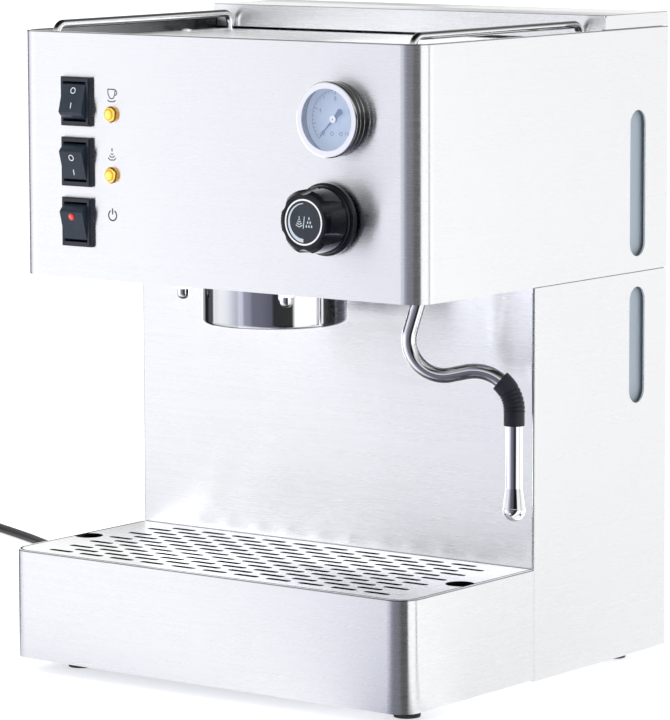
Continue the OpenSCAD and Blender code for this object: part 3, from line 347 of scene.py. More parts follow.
@dataclass(frozen=True)
class BrushedSheet(Finish):
    """Steel sheet with fine level brushing, which blurs what it mirrors up and down only.

    Its colour holds painted light. Side walls that face the inside are darker towards the back, a painted
    reflection: inside holds their levels at the two depths of reach. fade below 1 darkens the
    sheet across span, towards its right end, with painted shade. walls below 1 darkens upright faces, such
    as those of slots, with painted shade. rim is the part of the piece's height, at its top, that shows as a
    painted dark edge line, at the level rim_level.
    """

    roughness: float = 0.26
    stretch: float = 0.95
    depth: float = 0.000007
    contrast: float = 0.022
    fade: float = 1.0
    walls: float = 1.0
    rim: float = 0.0
    rim_level: float = 0.3
    turn: float = 0.25
    uneven: float = 0.03
    inside: Flat = (0.42, 0.05)
    reach: Flat = (-0.11, 0.05)
    span: Flat = (-0.03, 0.09)

    def level(self, graph: Graph) -> Socket:
        """Builds the factor of painted shade and painted reflection for walls, edges and ends.

        Args:
            graph: the material's graph.

        Returns:
            The factor, 1 where nothing is darkened.
        """
        # Painted reflection on inward walls; painted shade towards the right end, on upright faces and as a dark
        # line on the top rim.
        place, facing = graph.place("Object"), graph.geometry("True Normal")
        inward = graph.math("LESS_THAN", graph.math("MULTIPLY", place["X"], facing["X"]), -0.1)
        depth = graph.spread(place["Y"], *self.reach, *self.inside)
        faded = graph.spread(place["X"], *self.span, 1.0, self.fade)
        level = graph.math("MULTIPLY", graph.mix(inward, 1.0, depth), faded)
        upright = graph.spread(graph.math("ABSOLUTE", facing["Z"]), 0.4, 0.6, 1.0, 0.0)
        level = graph.math("MULTIPLY", level, graph.mix(upright, 1.0, self.walls))
        if self.rim > 0.0:
            top = graph.math("GREATER_THAN", graph.place("Generated")["Z"], 1.0 - self.rim)
            edge = graph.math("MULTIPLY", upright, top)
            level = graph.math("MULTIPLY", level, graph.mix(edge, 1.0, self.rim_level))
        return level

    def build(self, effects: SurfaceEffects) -> Material:
        """Builds the brushed metal.

        Args:
            effects: the shared shader groups.

        Returns:
            The material.
        """
        material, graph, shader = self.start(Metallic=1.0, Anisotropic=self.stretch)
        brush = graph.add("ShaderNodeGroup", {}, node_tree=effects.brushing)
        smudge = graph.effect(effects.smudges, 0.09)
        lines = graph.math("MULTIPLY", brush.outputs["Lines"], 0.4)
        streak = graph.math("MULTIPLY_ADD", brush.outputs["Streaks"], 0.6, lines)
        bright = graph.spread(streak, 0.3, 0.7, 0.0, 1.0)
        tint = graph.mix_colour(bright, self.toned(1.0 - self.contrast), self.toned())
        # The brushed colour is scaled by the painted shade and reflection.
        graph.give(shader, Base_Color=graph.scaled(tint, self.level(graph)))
        rough = graph.spread(streak, 0.3, 0.7, self.roughness - self.uneven, self.roughness + self.uneven)
        graph.give(shader, Roughness=graph.math("MULTIPLY_ADD", smudge, 0.02, rough))
        tangent = graph.add("ShaderNodeTangent", direction_type="RADIAL", axis="Z")
        graph.give(shader, Tangent=tangent.outputs[0], Anisotropic_Rotation=self.turn)
        graph.bump(shader, 0.2, self.depth, brush.outputs["Lines"])
        return material


@dataclass(frozen=True)
class PolishedMetal(Finish):
    """Chrome or polished steel with a trace of handling.

    flank below 1 darkens the outside of a ring that faces the front, and inner sets its inner wall: painted
    reflection. sky below 1 darkens what faces up or down, also painted reflection. bands holds
    upright painted reflections: from and to a compass angle, and how bright.
    """

    roughness: float = 0.06
    blur: float = 0.06
    flank: float = 1.0
    sky: float = 1.0
    bands: tuple[tuple[float, float, float], ...] = ()
    inner: float = 0.62
    soft: float = 0.02

    def ring(self, graph: Graph) -> Socket:
        """Builds the painted reflection on a ring's side faces: its outside and its inner wall.

        Args:
            graph: the material's graph.

        Returns:
            The factor, 1 where nothing is darkened.
        """
        place, facing = graph.place("Generated"), graph.geometry("Normal")
        parts = [graph.math("MULTIPLY", graph.math("SUBTRACT", place[k], 0.5), facing[k]) for k in ("X", "Z")]
        outside = graph.spread(graph.math("ADD", *parts), 0.05, 0.1, 0.0, 1.0)
        aside = graph.spread(graph.math("ABSOLUTE", facing["Y"]), 0.3, 0.93, 1.0, 0.0)
        return graph.mix(aside, 1.0, graph.mix(outside, self.inner, self.flank))

    def tilted(self, graph: Graph) -> Socket:
        """Builds the painted reflection for faces that look up or down.

        Args:
            graph: the material's graph.

        Returns:
            The factor, 1 where nothing is darkened.
        """
        level = graph.math("MULTIPLY_ADD", graph.geometry("Normal")["Z"], 0.5, 0.5)
        dark, half = self.sky, (1.0 + self.sky) / 2
        marks = ((0.0, dark), (0.2, dark), (0.33, 1.0), (0.6, 1.0), (0.68, half), (0.76, dark), (1.0, dark))
        grey = graph.ramp(level, [(at, (tone,) * 3) for at, tone in marks])
        return graph.add("ShaderNodeSeparateColor", {0: grey}).outputs[0]

    def striped(self, graph: Graph) -> Socket:
        """Builds the painted reflections, upright stripes by compass angle.

        Args:
            graph: the material's graph.

        Returns:
            The factor, 1 where nothing is darkened.
        """
        facing = graph.geometry("Normal")
        angle = graph.math("ARCTAN2", facing["X"], graph.math("MULTIPLY", facing["Y"], -1.0))
        factor: object = 1.0
        for start, end, level in self.bands:
            low, high = math.radians(start), math.radians(end)
            after = graph.spread(angle, low - self.soft, low + self.soft, 0.0, 1.0)
            before = graph.spread(angle, high - self.soft, high + self.soft, 1.0, 0.0)
            reflection_stripe = graph.mix(graph.math("MULTIPLY", after, before), 1.0, level)
            factor = graph.math("MULTIPLY", factor, reflection_stripe)
        return factor

    def shade(self, graph: Graph) -> Socket | None:
        """Picks the painted reflection that this finish needs.

        Args:
            graph: the material's graph.

        Returns:
            The factor, or None for an even finish.
        """
        if self.flank < 1.0:
            return self.ring(graph)
        if self.sky < 1.0:
            return self.tilted(graph)
        return self.striped(graph) if self.bands else None

    def build(self, effects: SurfaceEffects) -> Material:
        """Builds the polished metal.

        Args:
            effects: the shared shader groups.

        Returns:
            The material.
        """
        material, graph, shader = self.start(Metallic=1.0)
        smudge = graph.effect(effects.smudges, 0.02)
        self.smear(graph, shader, smudge, self.blur)
        tint = graph.mix_colour(smudge, self.toned(), self.toned(0.96))
        # The polished colour is scaled by the painted reflection, if the finish has one.
        shade = self.shade(graph)
        graph.give(shader, Base_Color=graph.scaled(tint, shade) if shade else tint)
        return material


@dataclass(frozen=True)
class MachinedMetal(Finish):
    """Turned brass, bent copper tube or a plain sheet inside the housing."""

    tarnish: float = 0.25

    def build(self, effects: SurfaceEffects) -> Material:
        """Builds the metal with darker patches of tarnish.

        Args:
            effects: the shared shader groups.

        Returns:
            The material.
        """
        material, graph, shader = self.start(Metallic=1.0)
        smudge = graph.effect(effects.smudges, 0.015)
        graph.give(shader, Base_Color=graph.mix_colour(smudge, self.toned(), self.toned(1.0 - self.tarnish)))
        self.smear(graph, shader, smudge, 0.18)
        graph.bump(shader, 0.15, 0.00003, graph.effect(effects.grain, 0.0005))
        return material


@dataclass(frozen=True)
class MouldedPlastic(Finish):
    """Moulded plastic or rubber, from gloss to matt."""

    roughness: float = 0.25
    grain_size: float = 0.0004
    grain_depth: float = 0.00002
    shine: float = 0.35

    def build(self, effects: SurfaceEffects) -> Material:
        """Builds the plastic.

        Args:
            effects: the shared shader groups.

        Returns:
            The material.
        """
        material, graph, shader = self.start(IOR=1.5, Specular_IOR_Level=self.shine)
        smudge = graph.effect(effects.smudges, 0.012)
        graph.give(shader, Base_Color=graph.mix_colour(smudge, self.toned(), self.toned(1.25, 0.004)))
        self.smear(graph, shader, smudge, 0.08)
        graph.bump(shader, 0.4, self.grain_depth, graph.effect(effects.grain, self.grain_size))
        return material


@dataclass(frozen=True)
class ClearMaterial(Finish):
    """See-through plastic or glass."""

    roughness: float = 0.03
    ior: float = 1.45
    transmission: float = 1.0

    def build(self, effects: SurfaceEffects) -> Material:
        """Builds the clear material with faint wiping marks.

        Args:
            effects: the shared shader groups.

        Returns:
            The material.
        """
        material, graph, shader = self.start(IOR=self.ior, Transmission_Weight=self.transmission)
        self.smear(graph, shader, graph.effect(effects.smudges, 0.02), 0.05)
        return material


@dataclass(frozen=True)
class Lens(Finish):
    """Translucent lens over a small lamp. Its pale middle with facets and its bright ring are painted
    highlights, and its darker band, dark rim and side wall are painted shade.

    Where one node holds two lenses above each other, tall is its height in lens widths. deep
    and side scale the colour for the painted shade at the foot of the ring and on the side wall.
    """

    # edge, deep and side colour the painted shade of the rim, of the ring's foot and of the side wall.
    edge: Colour = (0.10, 0.045, 0.01)
    deep: Colour = (0.5, 0.34, 0.2)
    side: Colour = (0.62, 0.45, 0.4)
    glow: float = 0.25
    roughness: float = 0.1
    tall: float = 1.0

    def build(self, effects: SurfaceEffects) -> Material:
        """Builds the lens.

        Args:
            effects: the shared shader groups.

        Returns:
            The material.
        """
        material, graph, shader = self.start(IOR=1.49, Coat_Weight=0.5, Coat_Roughness=0.03)
        place = graph.place("Generated")
        across = graph.math("MULTIPLY_ADD", place["X"], 2.0, -1.0)
        apart = graph.math("ABSOLUTE", graph.math("MULTIPLY_ADD", place["Z"], 2.0, -1.0))
        out = graph.distance(across, graph.math("MULTIPLY_ADD", apart, self.tall, 1.0 - self.tall))
        facets = graph.effect(effects.smudges, 0.0016)
        shade = graph.math("MULTIPLY_ADD", facets, 0.07, graph.math("MULTIPLY", out, 0.9))
        # Painted light by distance from the middle: the pale middle and the bright ring are painted highlights,
        # the deeper band, the dark rim and the side are painted shade.
        pale = self.toned(1.0, 0.12)[:3]
        deep, side = (tuple(c * f for c, f in zip(self.colour, part)) for part in (self.deep, self.side))
        tint = graph.ramp(shade, [
            (0.0, pale), (0.45, self.colour), (0.6, deep), (0.68, self.colour), (0.77, self.colour),
            (0.81, self.edge), (0.88, self.edge), (0.92, side), (1.0, side)])
        graph.give(shader, Base_Color=tint, Emission_Color=tint)
        graph.give(shader, Emission_Strength=self.glow, Roughness=self.roughness)
        return material


@dataclass(frozen=True)
class Print(Finish):
    """Thin printed or painted mark."""

    roughness: float = 0.5
    glow: float = 0.0

    def build(self, effects: SurfaceEffects) -> Material:
        """Builds the ink, very slightly uneven; some glow makes up for light lost behind glass.

        Args:
            effects: the shared shader groups.

        Returns:
            The material.
        """
        material, graph, shader = self.start(Emission_Strength=self.glow)
        tint = graph.mix_colour(graph.effect(effects.grain, 0.0006), self.toned(0.93), self.toned())
        graph.give(shader, Base_Color=tint, Emission_Color=tint, Roughness=self.roughness)
        return material


HOUSING: Colour = (0.89, 0.895, 0.905)
CHROME: Colour = (0.90, 0.905, 0.915)

FINISHES: dict[str, Finish] = {
    # Brushed sheets darken inward side walls towards the back with painted reflection; the grid adds painted shade
    # on its slot walls and towards its right end; head, base and lid get a painted dark line along their top edge.
    "brushed_housing": BrushedSheet("brushed housing", HOUSING),
    "inner_sheet": MachinedMetal("inner sheet", (0.60, 0.61, 0.63), 0.42, 0.12),
    # sky below 1 darkens faces that look up or down with painted reflection, here and on the rails and the wand.
    "polished_steel": PolishedMetal("polished steel", (0.88, 0.885, 0.89), 0.06, 0.04, sky=0.25),
    "grid_sheet": BrushedSheet("grid sheet", (0.94, 0.945, 0.955), fade=0.8, walls=0.03),
    "head_sheet": BrushedSheet("head sheet", HOUSING, rim=0.0045),
    "base_sheet": BrushedSheet("base sheet", HOUSING, rim=0.011),
    "lid_sheet": BrushedSheet("lid sheet", HOUSING, rim=0.025),
    # The collar's bands are painted reflections, upright stripes by compass angle; the gauge bezel's flank darkens
    # its outside and inner wall with painted reflection.
    "chrome_collar": PolishedMetal("chrome collar", (0.80, 0.81, 0.83), 0.03, 0.03, bands=(
        (-44.0, -19.0, 0.05), (-18.0, 8.0, 0.7), (79.0, 94.0, 0.15), (94.0, 130.0, 0.22))),
    "gauge_chrome": PolishedMetal("gauge chrome", (0.92, 0.925, 0.935), 0.05, 0.03, flank=0.07),
    "chrome_rail": PolishedMetal("chrome rail", CHROME, 0.05, 0.04, sky=0.1),
    "chrome_wand": PolishedMetal("chrome wand", CHROME, 0.05, 0.04, sky=0.3),
    "chrome_nozzle": PolishedMetal("chrome nozzle", CHROME, 0.05, 0.04),
    "rubber_foot": MouldedPlastic("foot rubber", (0.022, 0.022, 0.024), 0.62, 0.0008, 0.00005),
    "black_grip": MouldedPlastic("grip rubber", (0.006, 0.0095, 0.016), 0.42, 0.0006, 0.00004),
    "black_seal": MouldedPlastic("seal rubber", (0.025, 0.025, 0.026), 0.6, 0.0006, 0.00004),
    "black_plastic": MouldedPlastic("knob plastic", (0.002, 0.003, 0.006), 0.12, 0.0007, 0.00001, 0.3),
    "tray_plastic": MouldedPlastic("tray plastic", (0.012, 0.012, 0.013), 0.5, 0.0008, 0.00003),
    "switch_plastic": MouldedPlastic("switch plastic", (0.020, 0.022, 0.032), 0.34, 0.0005, 0.00002),
    "rocker_plastic": MouldedPlastic("rocker plastic", (0.012, 0.022, 0.037), 0.34, 0.0005, 0.00001),
    "cap_plastic": MouldedPlastic("cap plastic", (0.022, 0.027, 0.038), 0.45, 0.0005, 0.00002),
    # The lenses' colours carry painted highlights and shade; their glow is the lamps' own.
    "lamp_lens": Lens("amber lens", (0.95, 0.66, 0.10), tall=4.571),
    "red_lens": Lens("red lens", (0.80, 0.05, 0.04), edge=(0.06, 0.01, 0.01), glow=0.15),
    "gauge_body": MachinedMetal("gauge cup", (0.62, 0.63, 0.65), 0.4, 0.1),
    # The gauge's dial, pointer, scale and needle hub glow: painted light standing in for the light lost behind the
    # glass.
    "gauge_face": Print("gauge face", (0.50, 0.58, 0.74), 0.45, 0.62),
    "gauge_pointer": Print("gauge pointer", (0.22, 0.29, 0.42), 0.4, 0.5),
    "gauge_ink": Print("gauge ink", (0.26, 0.32, 0.43), 0.5, 0.5),
    "hub_white": Print("hub white", (0.88, 0.90, 0.92), 0.3, 0.6),
    "clear_glass": ClearMaterial("clear glass", (0.97, 0.985, 1.0), 0.01, 1.15),
    "brass_part": MachinedMetal("brass", (0.70, 0.52, 0.26), 0.28, 0.3),
    "copper_pipe": MachinedMetal("copper pipe", (0.72, 0.40, 0.26), 0.26, 0.3),
    "heater_steel": MachinedMetal("heater sheath", (0.40, 0.40, 0.41), 0.4, 0.2),
    "white_plastic": MouldedPlastic("white plastic", (0.80, 0.79, 0.74), 0.4),
    "tank_plastic": ClearMaterial("tank plastic", (0.46, 0.54, 0.62), 0.45, 1.3, 0.25),
    "hose_silicone": MouldedPlastic("hose silicone", (0.72, 0.74, 0.76), 0.35),
    "cord_rubber": MouldedPlastic("cord sheath", (0.016, 0.016, 0.018), 0.4, 0.0006, 0.00002),
    "white_ink": Print("white ink", (0.85, 0.86, 0.88)),
    "silver_ink": Print("silver ink", (0.55, 0.62, 0.70)),
    "grey_ink": Print("grey ink", (0.035, 0.037, 0.042), 0.7),
}


class PaintShop:
    """Builds each finish once and gives it to pieces."""

    def __init__(self) -> None:
        """Builds the shared groups."""
        self.effects = SurfaceEffects()
        self._made: dict[str, Material] = {}

    def get(self, slot: str) -> Material:
        """Builds the material of a named finish at its first use.

        Args:
            slot: the finish's key in FINISHES.

        Returns:
            The material.
        """
        if slot not in self._made:
            self._made[slot] = FINISHES[slot].build(self.effects)
        return self._made[slot]

    def dress(self, piece: Piece, slot: str) -> None:
        """Replaces a piece's materials by one finish and reports the piece.

        Args:
            piece: the piece to dress.
            slot: the finish's key in FINISHES.
        """
        piece.data.materials.clear()
        piece.data.materials.append(self.get(slot))
        LOG.info("%s wears %s", piece.name, slot)


# ---- mesh building


def new_piece(name: str, data: bpy.types.ID) -> Piece:
    """Links a mesh, curve, lamp or camera into the scene as an object.

    Args:
        name: the object's name.
        data: what it holds.

    Returns:
        The new object.
    """
    piece = bpy.data.objects.new(name, data)
    bpy.context.scene.collection.objects.link(piece)
    return piece


def finish_mesh(name: str, bm: BMesh, smooth_angle: float | None = 30.0) -> Piece:
    """Turns a bmesh into a piece.

    Args:
        name: the piece's name.
        bm: the mesh under construction, which is freed.
        smooth_angle: edges sharper than this stay sharp, in degrees; None keeps flat faces.

    Returns:
        The new object.
    """
    bmesh.ops.recalc_face_normals(bm, faces=bm.faces)
    mesh = bpy.data.meshes.new(name)
    if smooth_angle is not None:
        limit = math.radians(smooth_angle)
        for face in bm.faces:
            face.smooth = True
        for edge in bm.edges:
            if len(edge.link_faces) == 2 and edge.calc_face_angle(0.0) > limit:
                edge.smooth = False
    bm.to_mesh(mesh)
    bm.free()
    return new_piece(name, mesh)


def add_plate(bm: BMesh, outline: Sequence[Flat], thickness: float, place: Matrix) -> None:
    """Adds a thin plate of a flat outline, standing on local z = 0.

    Args:
        bm: the mesh to add to.
        outline: the corner points, in order.
        thickness: height along local z.
        place: where the plate goes.
    """
    low = [bm.verts.new(place @ Vector((x, y, 0.0))) for x, y in outline]
    high = [bm.verts.new(place @ Vector((x, y, thickness))) for x, y in outline]
    bm.faces.new(low[::-1])
    bm.faces.new(high)
    count = len(outline)
    for i in range(count):
        j = (i + 1) % count
        bm.faces.new((low[i], low[j], high[j], high[i]))


def add_band(bm: BMesh, inner: Sequence[Flat], outer: Sequence[Flat],
             thickness: float, place: Matrix, closed: bool) -> None:
    """Adds a raised band between two rows of points with the same count.

    Args:
        bm: the mesh to add to.
        inner: one side's points.
        outer: the other side's points.
        thickness: height along local z.
        place: where the band goes.
        closed: True for a ring.
    """
    sides = ((inner, 0.0), (outer, 0.0), (outer, thickness), (inner, thickness))
    rows = [[bm.verts.new(place @ Vector((x, y, z))) for x, y in side] for side, z in sides]
    count = len(inner)
    for i in range(count if closed else count - 1):
        j = (i + 1) % count
        for row, after in zip(rows, rows[1:] + rows[:1]):
            bm.faces.new((row[i], row[j], after[j], after[i]))
    for i in () if closed else (0, -1):
        bm.faces.new([row[i] for row in rows])


def add_stroke(bm: BMesh, points: Sequence[Flat], width: float | Sequence[float],
               thickness: float, place: Matrix, closed: bool = False) -> None:
    """Adds a drawn line of a given width along flat points.

    Args:
        bm: the mesh to add to.
        points: the line's points.
        width: the line's width, or one width for each point.
        thickness: height along local z.
        place: where the line goes.
        closed: True for a ring.
    """
    count = len(points)
    widths = [width] * count if isinstance(width, (int, float)) else list(width)
    inner, outer = [], []
    for i, (x, y) in enumerate(points):
        before = points[(i - 1) % count] if closed or i > 0 else points[i]
        after = points[(i + 1) % count] if closed or i < count - 1 else points[i]
        dx, dy = after[0] - before[0], after[1] - before[1]
        size = math.hypot(dx, dy) or 1.0
        nx, ny = -dy / size * widths[i] / 2, dx / size * widths[i] / 2
        inner.append((x + nx, y + ny))
        outer.append((x - nx, y - ny))
    add_band(bm, inner, outer, thickness, place, closed)


@dataclass
class Pen:
    """Draws raised marks of one width and thickness at a place of a mesh."""

    bm: BMesh
    width: float
    ink: float
    place: Matrix

    def line(self, points: Sequence[Flat], widen: float = 1.0, closed: bool = False) -> None:
        """Draws a line, or a closed ring."""
        add_stroke(self.bm, points, self.width * widen, self.ink, self.place, closed)


def arc(radius: float, start: float, end: float, steps: int, centre: Flat = (0.0, 0.0)) -> list[Flat]:
    """Points on an arc.

    Args:
        radius: the arc's radius.
        start: the first angle, in degrees.
        end: the last angle, in degrees.
        steps: how many pieces the arc is cut into.
        centre: its middle.

    Returns:
        The points; a full turn leaves out the last one.
    """
    full = abs(end - start) >= 360.0
    count = steps if full else steps + 1
    angles = [math.radians(start + (end - start) * i / steps) for i in range(count)]
    return [(centre[0] + radius * math.cos(a), centre[1] + radius * math.sin(a)) for a in angles]


def front_place(x: float, y: float, z: float) -> Matrix:
    """Frame on a face that looks to the front: local x to the right, y up, z out of the face."""
    return Matrix.Translation((x, y, z)) @ Matrix.Rotation(math.radians(90.0), 4, "X")


def catmull(points: Sequence[Point], steps: int) -> list[Vector]:
    """Smooth curve through points.

    Args:
        points: the points to pass through.
        steps: how many pieces each stretch between two points is cut into.

    Returns:
        The points of the curve.
    """
    p = [Vector(q) for q in points]
    out: list[Vector] = []
    for i in range(len(p) - 1):
        a, b, c, d = p[max(i - 1, 0)], p[i], p[i + 1], p[min(i + 2, len(p) - 1)]
        for k in range(steps):
            t = k / steps
            bend = (2 * a - 5 * b + 4 * c - d) * t * t + (3 * b - a - 3 * c + d) * t ** 3
            out.append(0.5 * (2 * b + (c - a) * t + bend))
    out.append(p[-1])
    return out


def ease(value: float, low: float, high: float) -> float:
    """Smooth step from 0 at low to 1 at high."""
    t = min(1.0, max(0.0, (value - low) / (high - low)))
    return t * t * (3.0 - 2.0 * t)


# ---- stage


# What stands around the machine, by compass angle in degrees from straight ahead of it towards its
# right: how bright the surroundings look from there.
ROOM: tuple[tuple[float, float], ...] = (
    (-180.0, 1.0), (-108.0, 1.0), (-103.0, 0.03), (-93.0, 0.03), (-86.0, 0.45), (-70.0, 0.75), (-58.0, 0.92),
    (-44.0, 1.0), (-41.0, 0.98), (-38.5, 0.86), (-36.0, 0.77), (-28.0, 0.60), (-18.0, 0.52), (-15.0, 0.28),
    (-5.0, 0.24), (-1.0, 0.14), (14.0, 0.13), (30.0, 0.08), (34.0, 0.008), (66.0, 0.008), (71.0, 0.95),
    (108.0, 1.0), (111.0, 0.35), (116.0, 0.3), (119.0, 0.95), (142.0, 0.97), (149.0, 0.84), (180.0, 0.9),
)

# The same for the floor, by the compass angle of the spot as seen from the machine's right front
# corner.
PAPER: tuple[tuple[float, float], ...] = (
    (-180.0, 0.9), (-110.0, 0.9), (-104.0, 0.05), (-95.0, 0.05), (-89.0, 0.60), (-76.0, 0.82), (-62.0, 0.93),
    (-54.0, 0.90), (-46.0, 0.84), (-41.0, 0.76), (-36.0, 0.66), (-28.0, 0.55), (-18.0, 0.48), (-15.0, 0.26),
    (-5.0, 0.22), (-1.0, 0.13), (14.0, 0.12), (30.0, 0.08), (34.0, 0.008), (65.0, 0.008), (70.0, 0.86),
    (108.0, 0.90), (111.0, 0.35), (116.0, 0.3), (119.0, 0.88), (142.0, 0.86), (149.0, 0.74), (180.0, 0.8),
)


@dataclass
class Studio:
    """Camera, floor and soft light.

    above is the least brightness past the heights of horizon, overhead that past the heights of
    zenith. second is what a second mirroring gains, and fill the world's light on dull faces. cold
    and tinge colour the room's half tones up to the compass angle cold_end. near is the floor's
    brightness at the first distance of fading, which is gone at the second.
    """

    camera_at: Point = (1.4968, -1.9807, 0.5050)
    heading: float = 37.17
    dip: float = 7.248
    roll: float = 0.198
    lens: float = 211.93
    shift: Flat = (0.0111, -0.0144)
    corner: Flat = (0.13, -0.10)
    paper: Colour = (0.93, 0.93, 0.935)
    paler: Colour = (0.95, 0.95, 0.95)
    floor_glow: float = 0.6
    near: float = 0.8
    fading: Flat = (0.1, 2.2)
    above: float = 0.75
    horizon: Flat = (0.15, 0.27)
    overhead: float = 0.07
    zenith: Flat = (0.45, 0.85)
    cold: float = 0.3
    cold_end: float = 65.0
    tinge: Colour = (-0.7, -0.6, 0.5)
    second: float = 1.2
    fill: float = 0.85

    def camera(self) -> None:
        """Places the camera at the viewing angle."""
        yaw, dip, roll = (math.radians(v) for v in (self.heading, self.dip, self.roll))
        forward = Vector((-math.sin(yaw) * math.cos(dip), math.cos(yaw) * math.cos(dip), -math.sin(dip)))
        right = Vector((math.cos(yaw), math.sin(yaw), 0.0))
        down = forward.cross(right)
        turned_right = right * math.cos(roll) + down * math.sin(roll)
        turned_down = down * math.cos(roll) - right * math.sin(roll)
        data = bpy.data.cameras.new("camera")
        data.lens = self.lens
        data.sensor_width = 36.0
        data.sensor_fit = "AUTO"
        data.shift_x, data.shift_y = self.shift
        data.clip_end = 60.0
        camera = new_piece("camera", data)
        axes = Matrix((turned_right, -turned_down, -forward)).transposed()
        camera.matrix_world = Matrix.Translation(self.camera_at) @ axes.to_4x4()
        bpy.context.scene.camera = camera

    def surroundings(self, graph: Graph, levels: Sequence[Flat], along: object, ahead: object) -> Socket:
        """Colour of the room seen in a direction.

        Args:
            graph: the tree to build in.
            levels: compass angles with their brightness.
            along: the direction's part to the right.
            ahead: the direction's part to the front.

        Returns:
            The colour socket.
        """
        angle = graph.math("ARCTAN2", along, ahead)
        turn = graph.math("MULTIPLY_ADD", angle, 0.5 / math.pi, 0.5)
        stops = []
        for degrees, level in levels:
            cold = self.cold * level * (1.0 - level) if degrees < self.cold_end else 0.0
            colour = tuple(min(1.0, level + part * cold) for part in self.tinge)
            stops.append(((degrees + 180.0) / 360.0, colour))
        return graph.ramp(turn, stops)

    def lifted(self, graph: Graph, rays: Sockets) -> Socket:
        """Factor that makes up for the light a second mirroring loses."""
        again = graph.math("GREATER_THAN", rays["Glossy Depth"], 1.5)
        return graph.math("MULTIPLY_ADD", again, self.second, 1.0)

    def floor(self) -> None:
        """Lays a wide pale floor; polished faces see the room's dark parts in it too."""
        bm = bmesh.new()
        bmesh.ops.create_grid(bm, x_segments=2, y_segments=2, size=30.0)
        floor = finish_mesh("floor", bm)
        floor.location.z = -0.0002
        material, graph, shader = Finish("floor", self.paper).start(
            Roughness=0.9, Specular_IOR_Level=0.1, Emission_Strength=self.floor_glow)
        spot = graph.geometry("Position")
        along = graph.math("SUBTRACT", spot["X"], self.corner[0])
        ahead = graph.math("SUBTRACT", self.corner[1], spot["Y"])
        apart = graph.distance(along, ahead)
        rays = graph.add("ShaderNodeLightPath").outputs
        near = graph.math("MULTIPLY", graph.spread(apart, *self.fading, self.near, 1.0), self.lifted(graph, rays))
        room = graph.scaled(self.surroundings(graph, PAPER, along, ahead), near)
        tone = graph.noise(graph.add("ShaderNodeTexCoord").outputs["Object"], 3.0, 2.0, 0.55)
        paper = graph.mix_colour(tone, rgba(self.paper), rgba(self.paler))
        colour = graph.mix_colour(rays["Is Glossy Ray"], paper, room)
        graph.give(shader, Base_Color=colour, Emission_Color=colour)
        floor.data.materials.append(material)

    @staticmethod
    def lamp(name: str, at: Point, towards: Point, size: Flat, power: float) -> None:
        """Adds one soft box.

        Args:
            name: the lamp's name.
            at: its middle.
            towards: the point it faces.
            size: its width and height in metres.
            power: its power in watts.
        """
        data = bpy.data.lights.new(name, "AREA")
        data.shape = "RECTANGLE"
        data.size, data.size_y = size
        data.energy = power
        lamp = new_piece(name, data)
        lamp.visible_glossy = False
        turn = (Vector(towards) - Vector(at)).to_track_quat("-Z", "Y")
        lamp.matrix_world = Matrix.Translation(at) @ turn.to_matrix().to_4x4()

    def world(self) -> None:
        """White surroundings, with the room's dark parts for what mirrors them."""
        world = bpy.data.worlds.new("studio")
        bpy.context.scene.world = world
        world.use_nodes = True
        graph = Graph(world.node_tree)
        background = world.node_tree.nodes["Background"]
        rays = graph.add("ShaderNodeLightPath").outputs
        way = graph.place("Generated")
        around = self.surroundings(graph, ROOM, way["X"], graph.math("MULTIPLY", way["Y"], -1.0))
        above = graph.spread(way["Z"], *self.horizon, 0.0, self.above)
        around = graph.add("ShaderNodeVectorMath", {0: around, 1: above}, operation="MAXIMUM").outputs[0]
        overhead = graph.spread(way["Z"], *self.zenith, 1.0, self.overhead)
        room = graph.scaled(around, graph.math("MULTIPLY", overhead, self.lifted(graph, rays)))
        white = rgba((1.0, 1.0, 1.0))
        graph.give(background, Color=graph.mix_colour(rays["Is Glossy Ray"], white, room))
        shown = graph.math("MAXIMUM", rays["Is Camera Ray"], rays["Is Transmission Ray"])
        seen = graph.math("MAXIMUM", shown, rays["Is Glossy Ray"])
        graph.give(background, Strength=graph.mix(seen, self.fill, 1.0))

    def build(self) -> None:
        """Sets up the lamps, the floor and the view settings."""
        self.floor()
        self.world()
        self.lamp("left box", (-1.6, -1.9, 1.3), (0.0, 0.0, 0.22), (1.6, 1.6), 9.0)
        self.lamp("right box", (2.1, 0.6, 1.2), (0.0, 0.0, 0.2), (1.2, 1.4), 4.0)
        self.lamp("top box", (0.0, -0.2, 2.2), (0.0, 0.0, 0.0), (1.6, 1.6), 5.0)
        bpy.context.scene.view_settings.view_transform = "Standard"


# ---- sub-assemblies


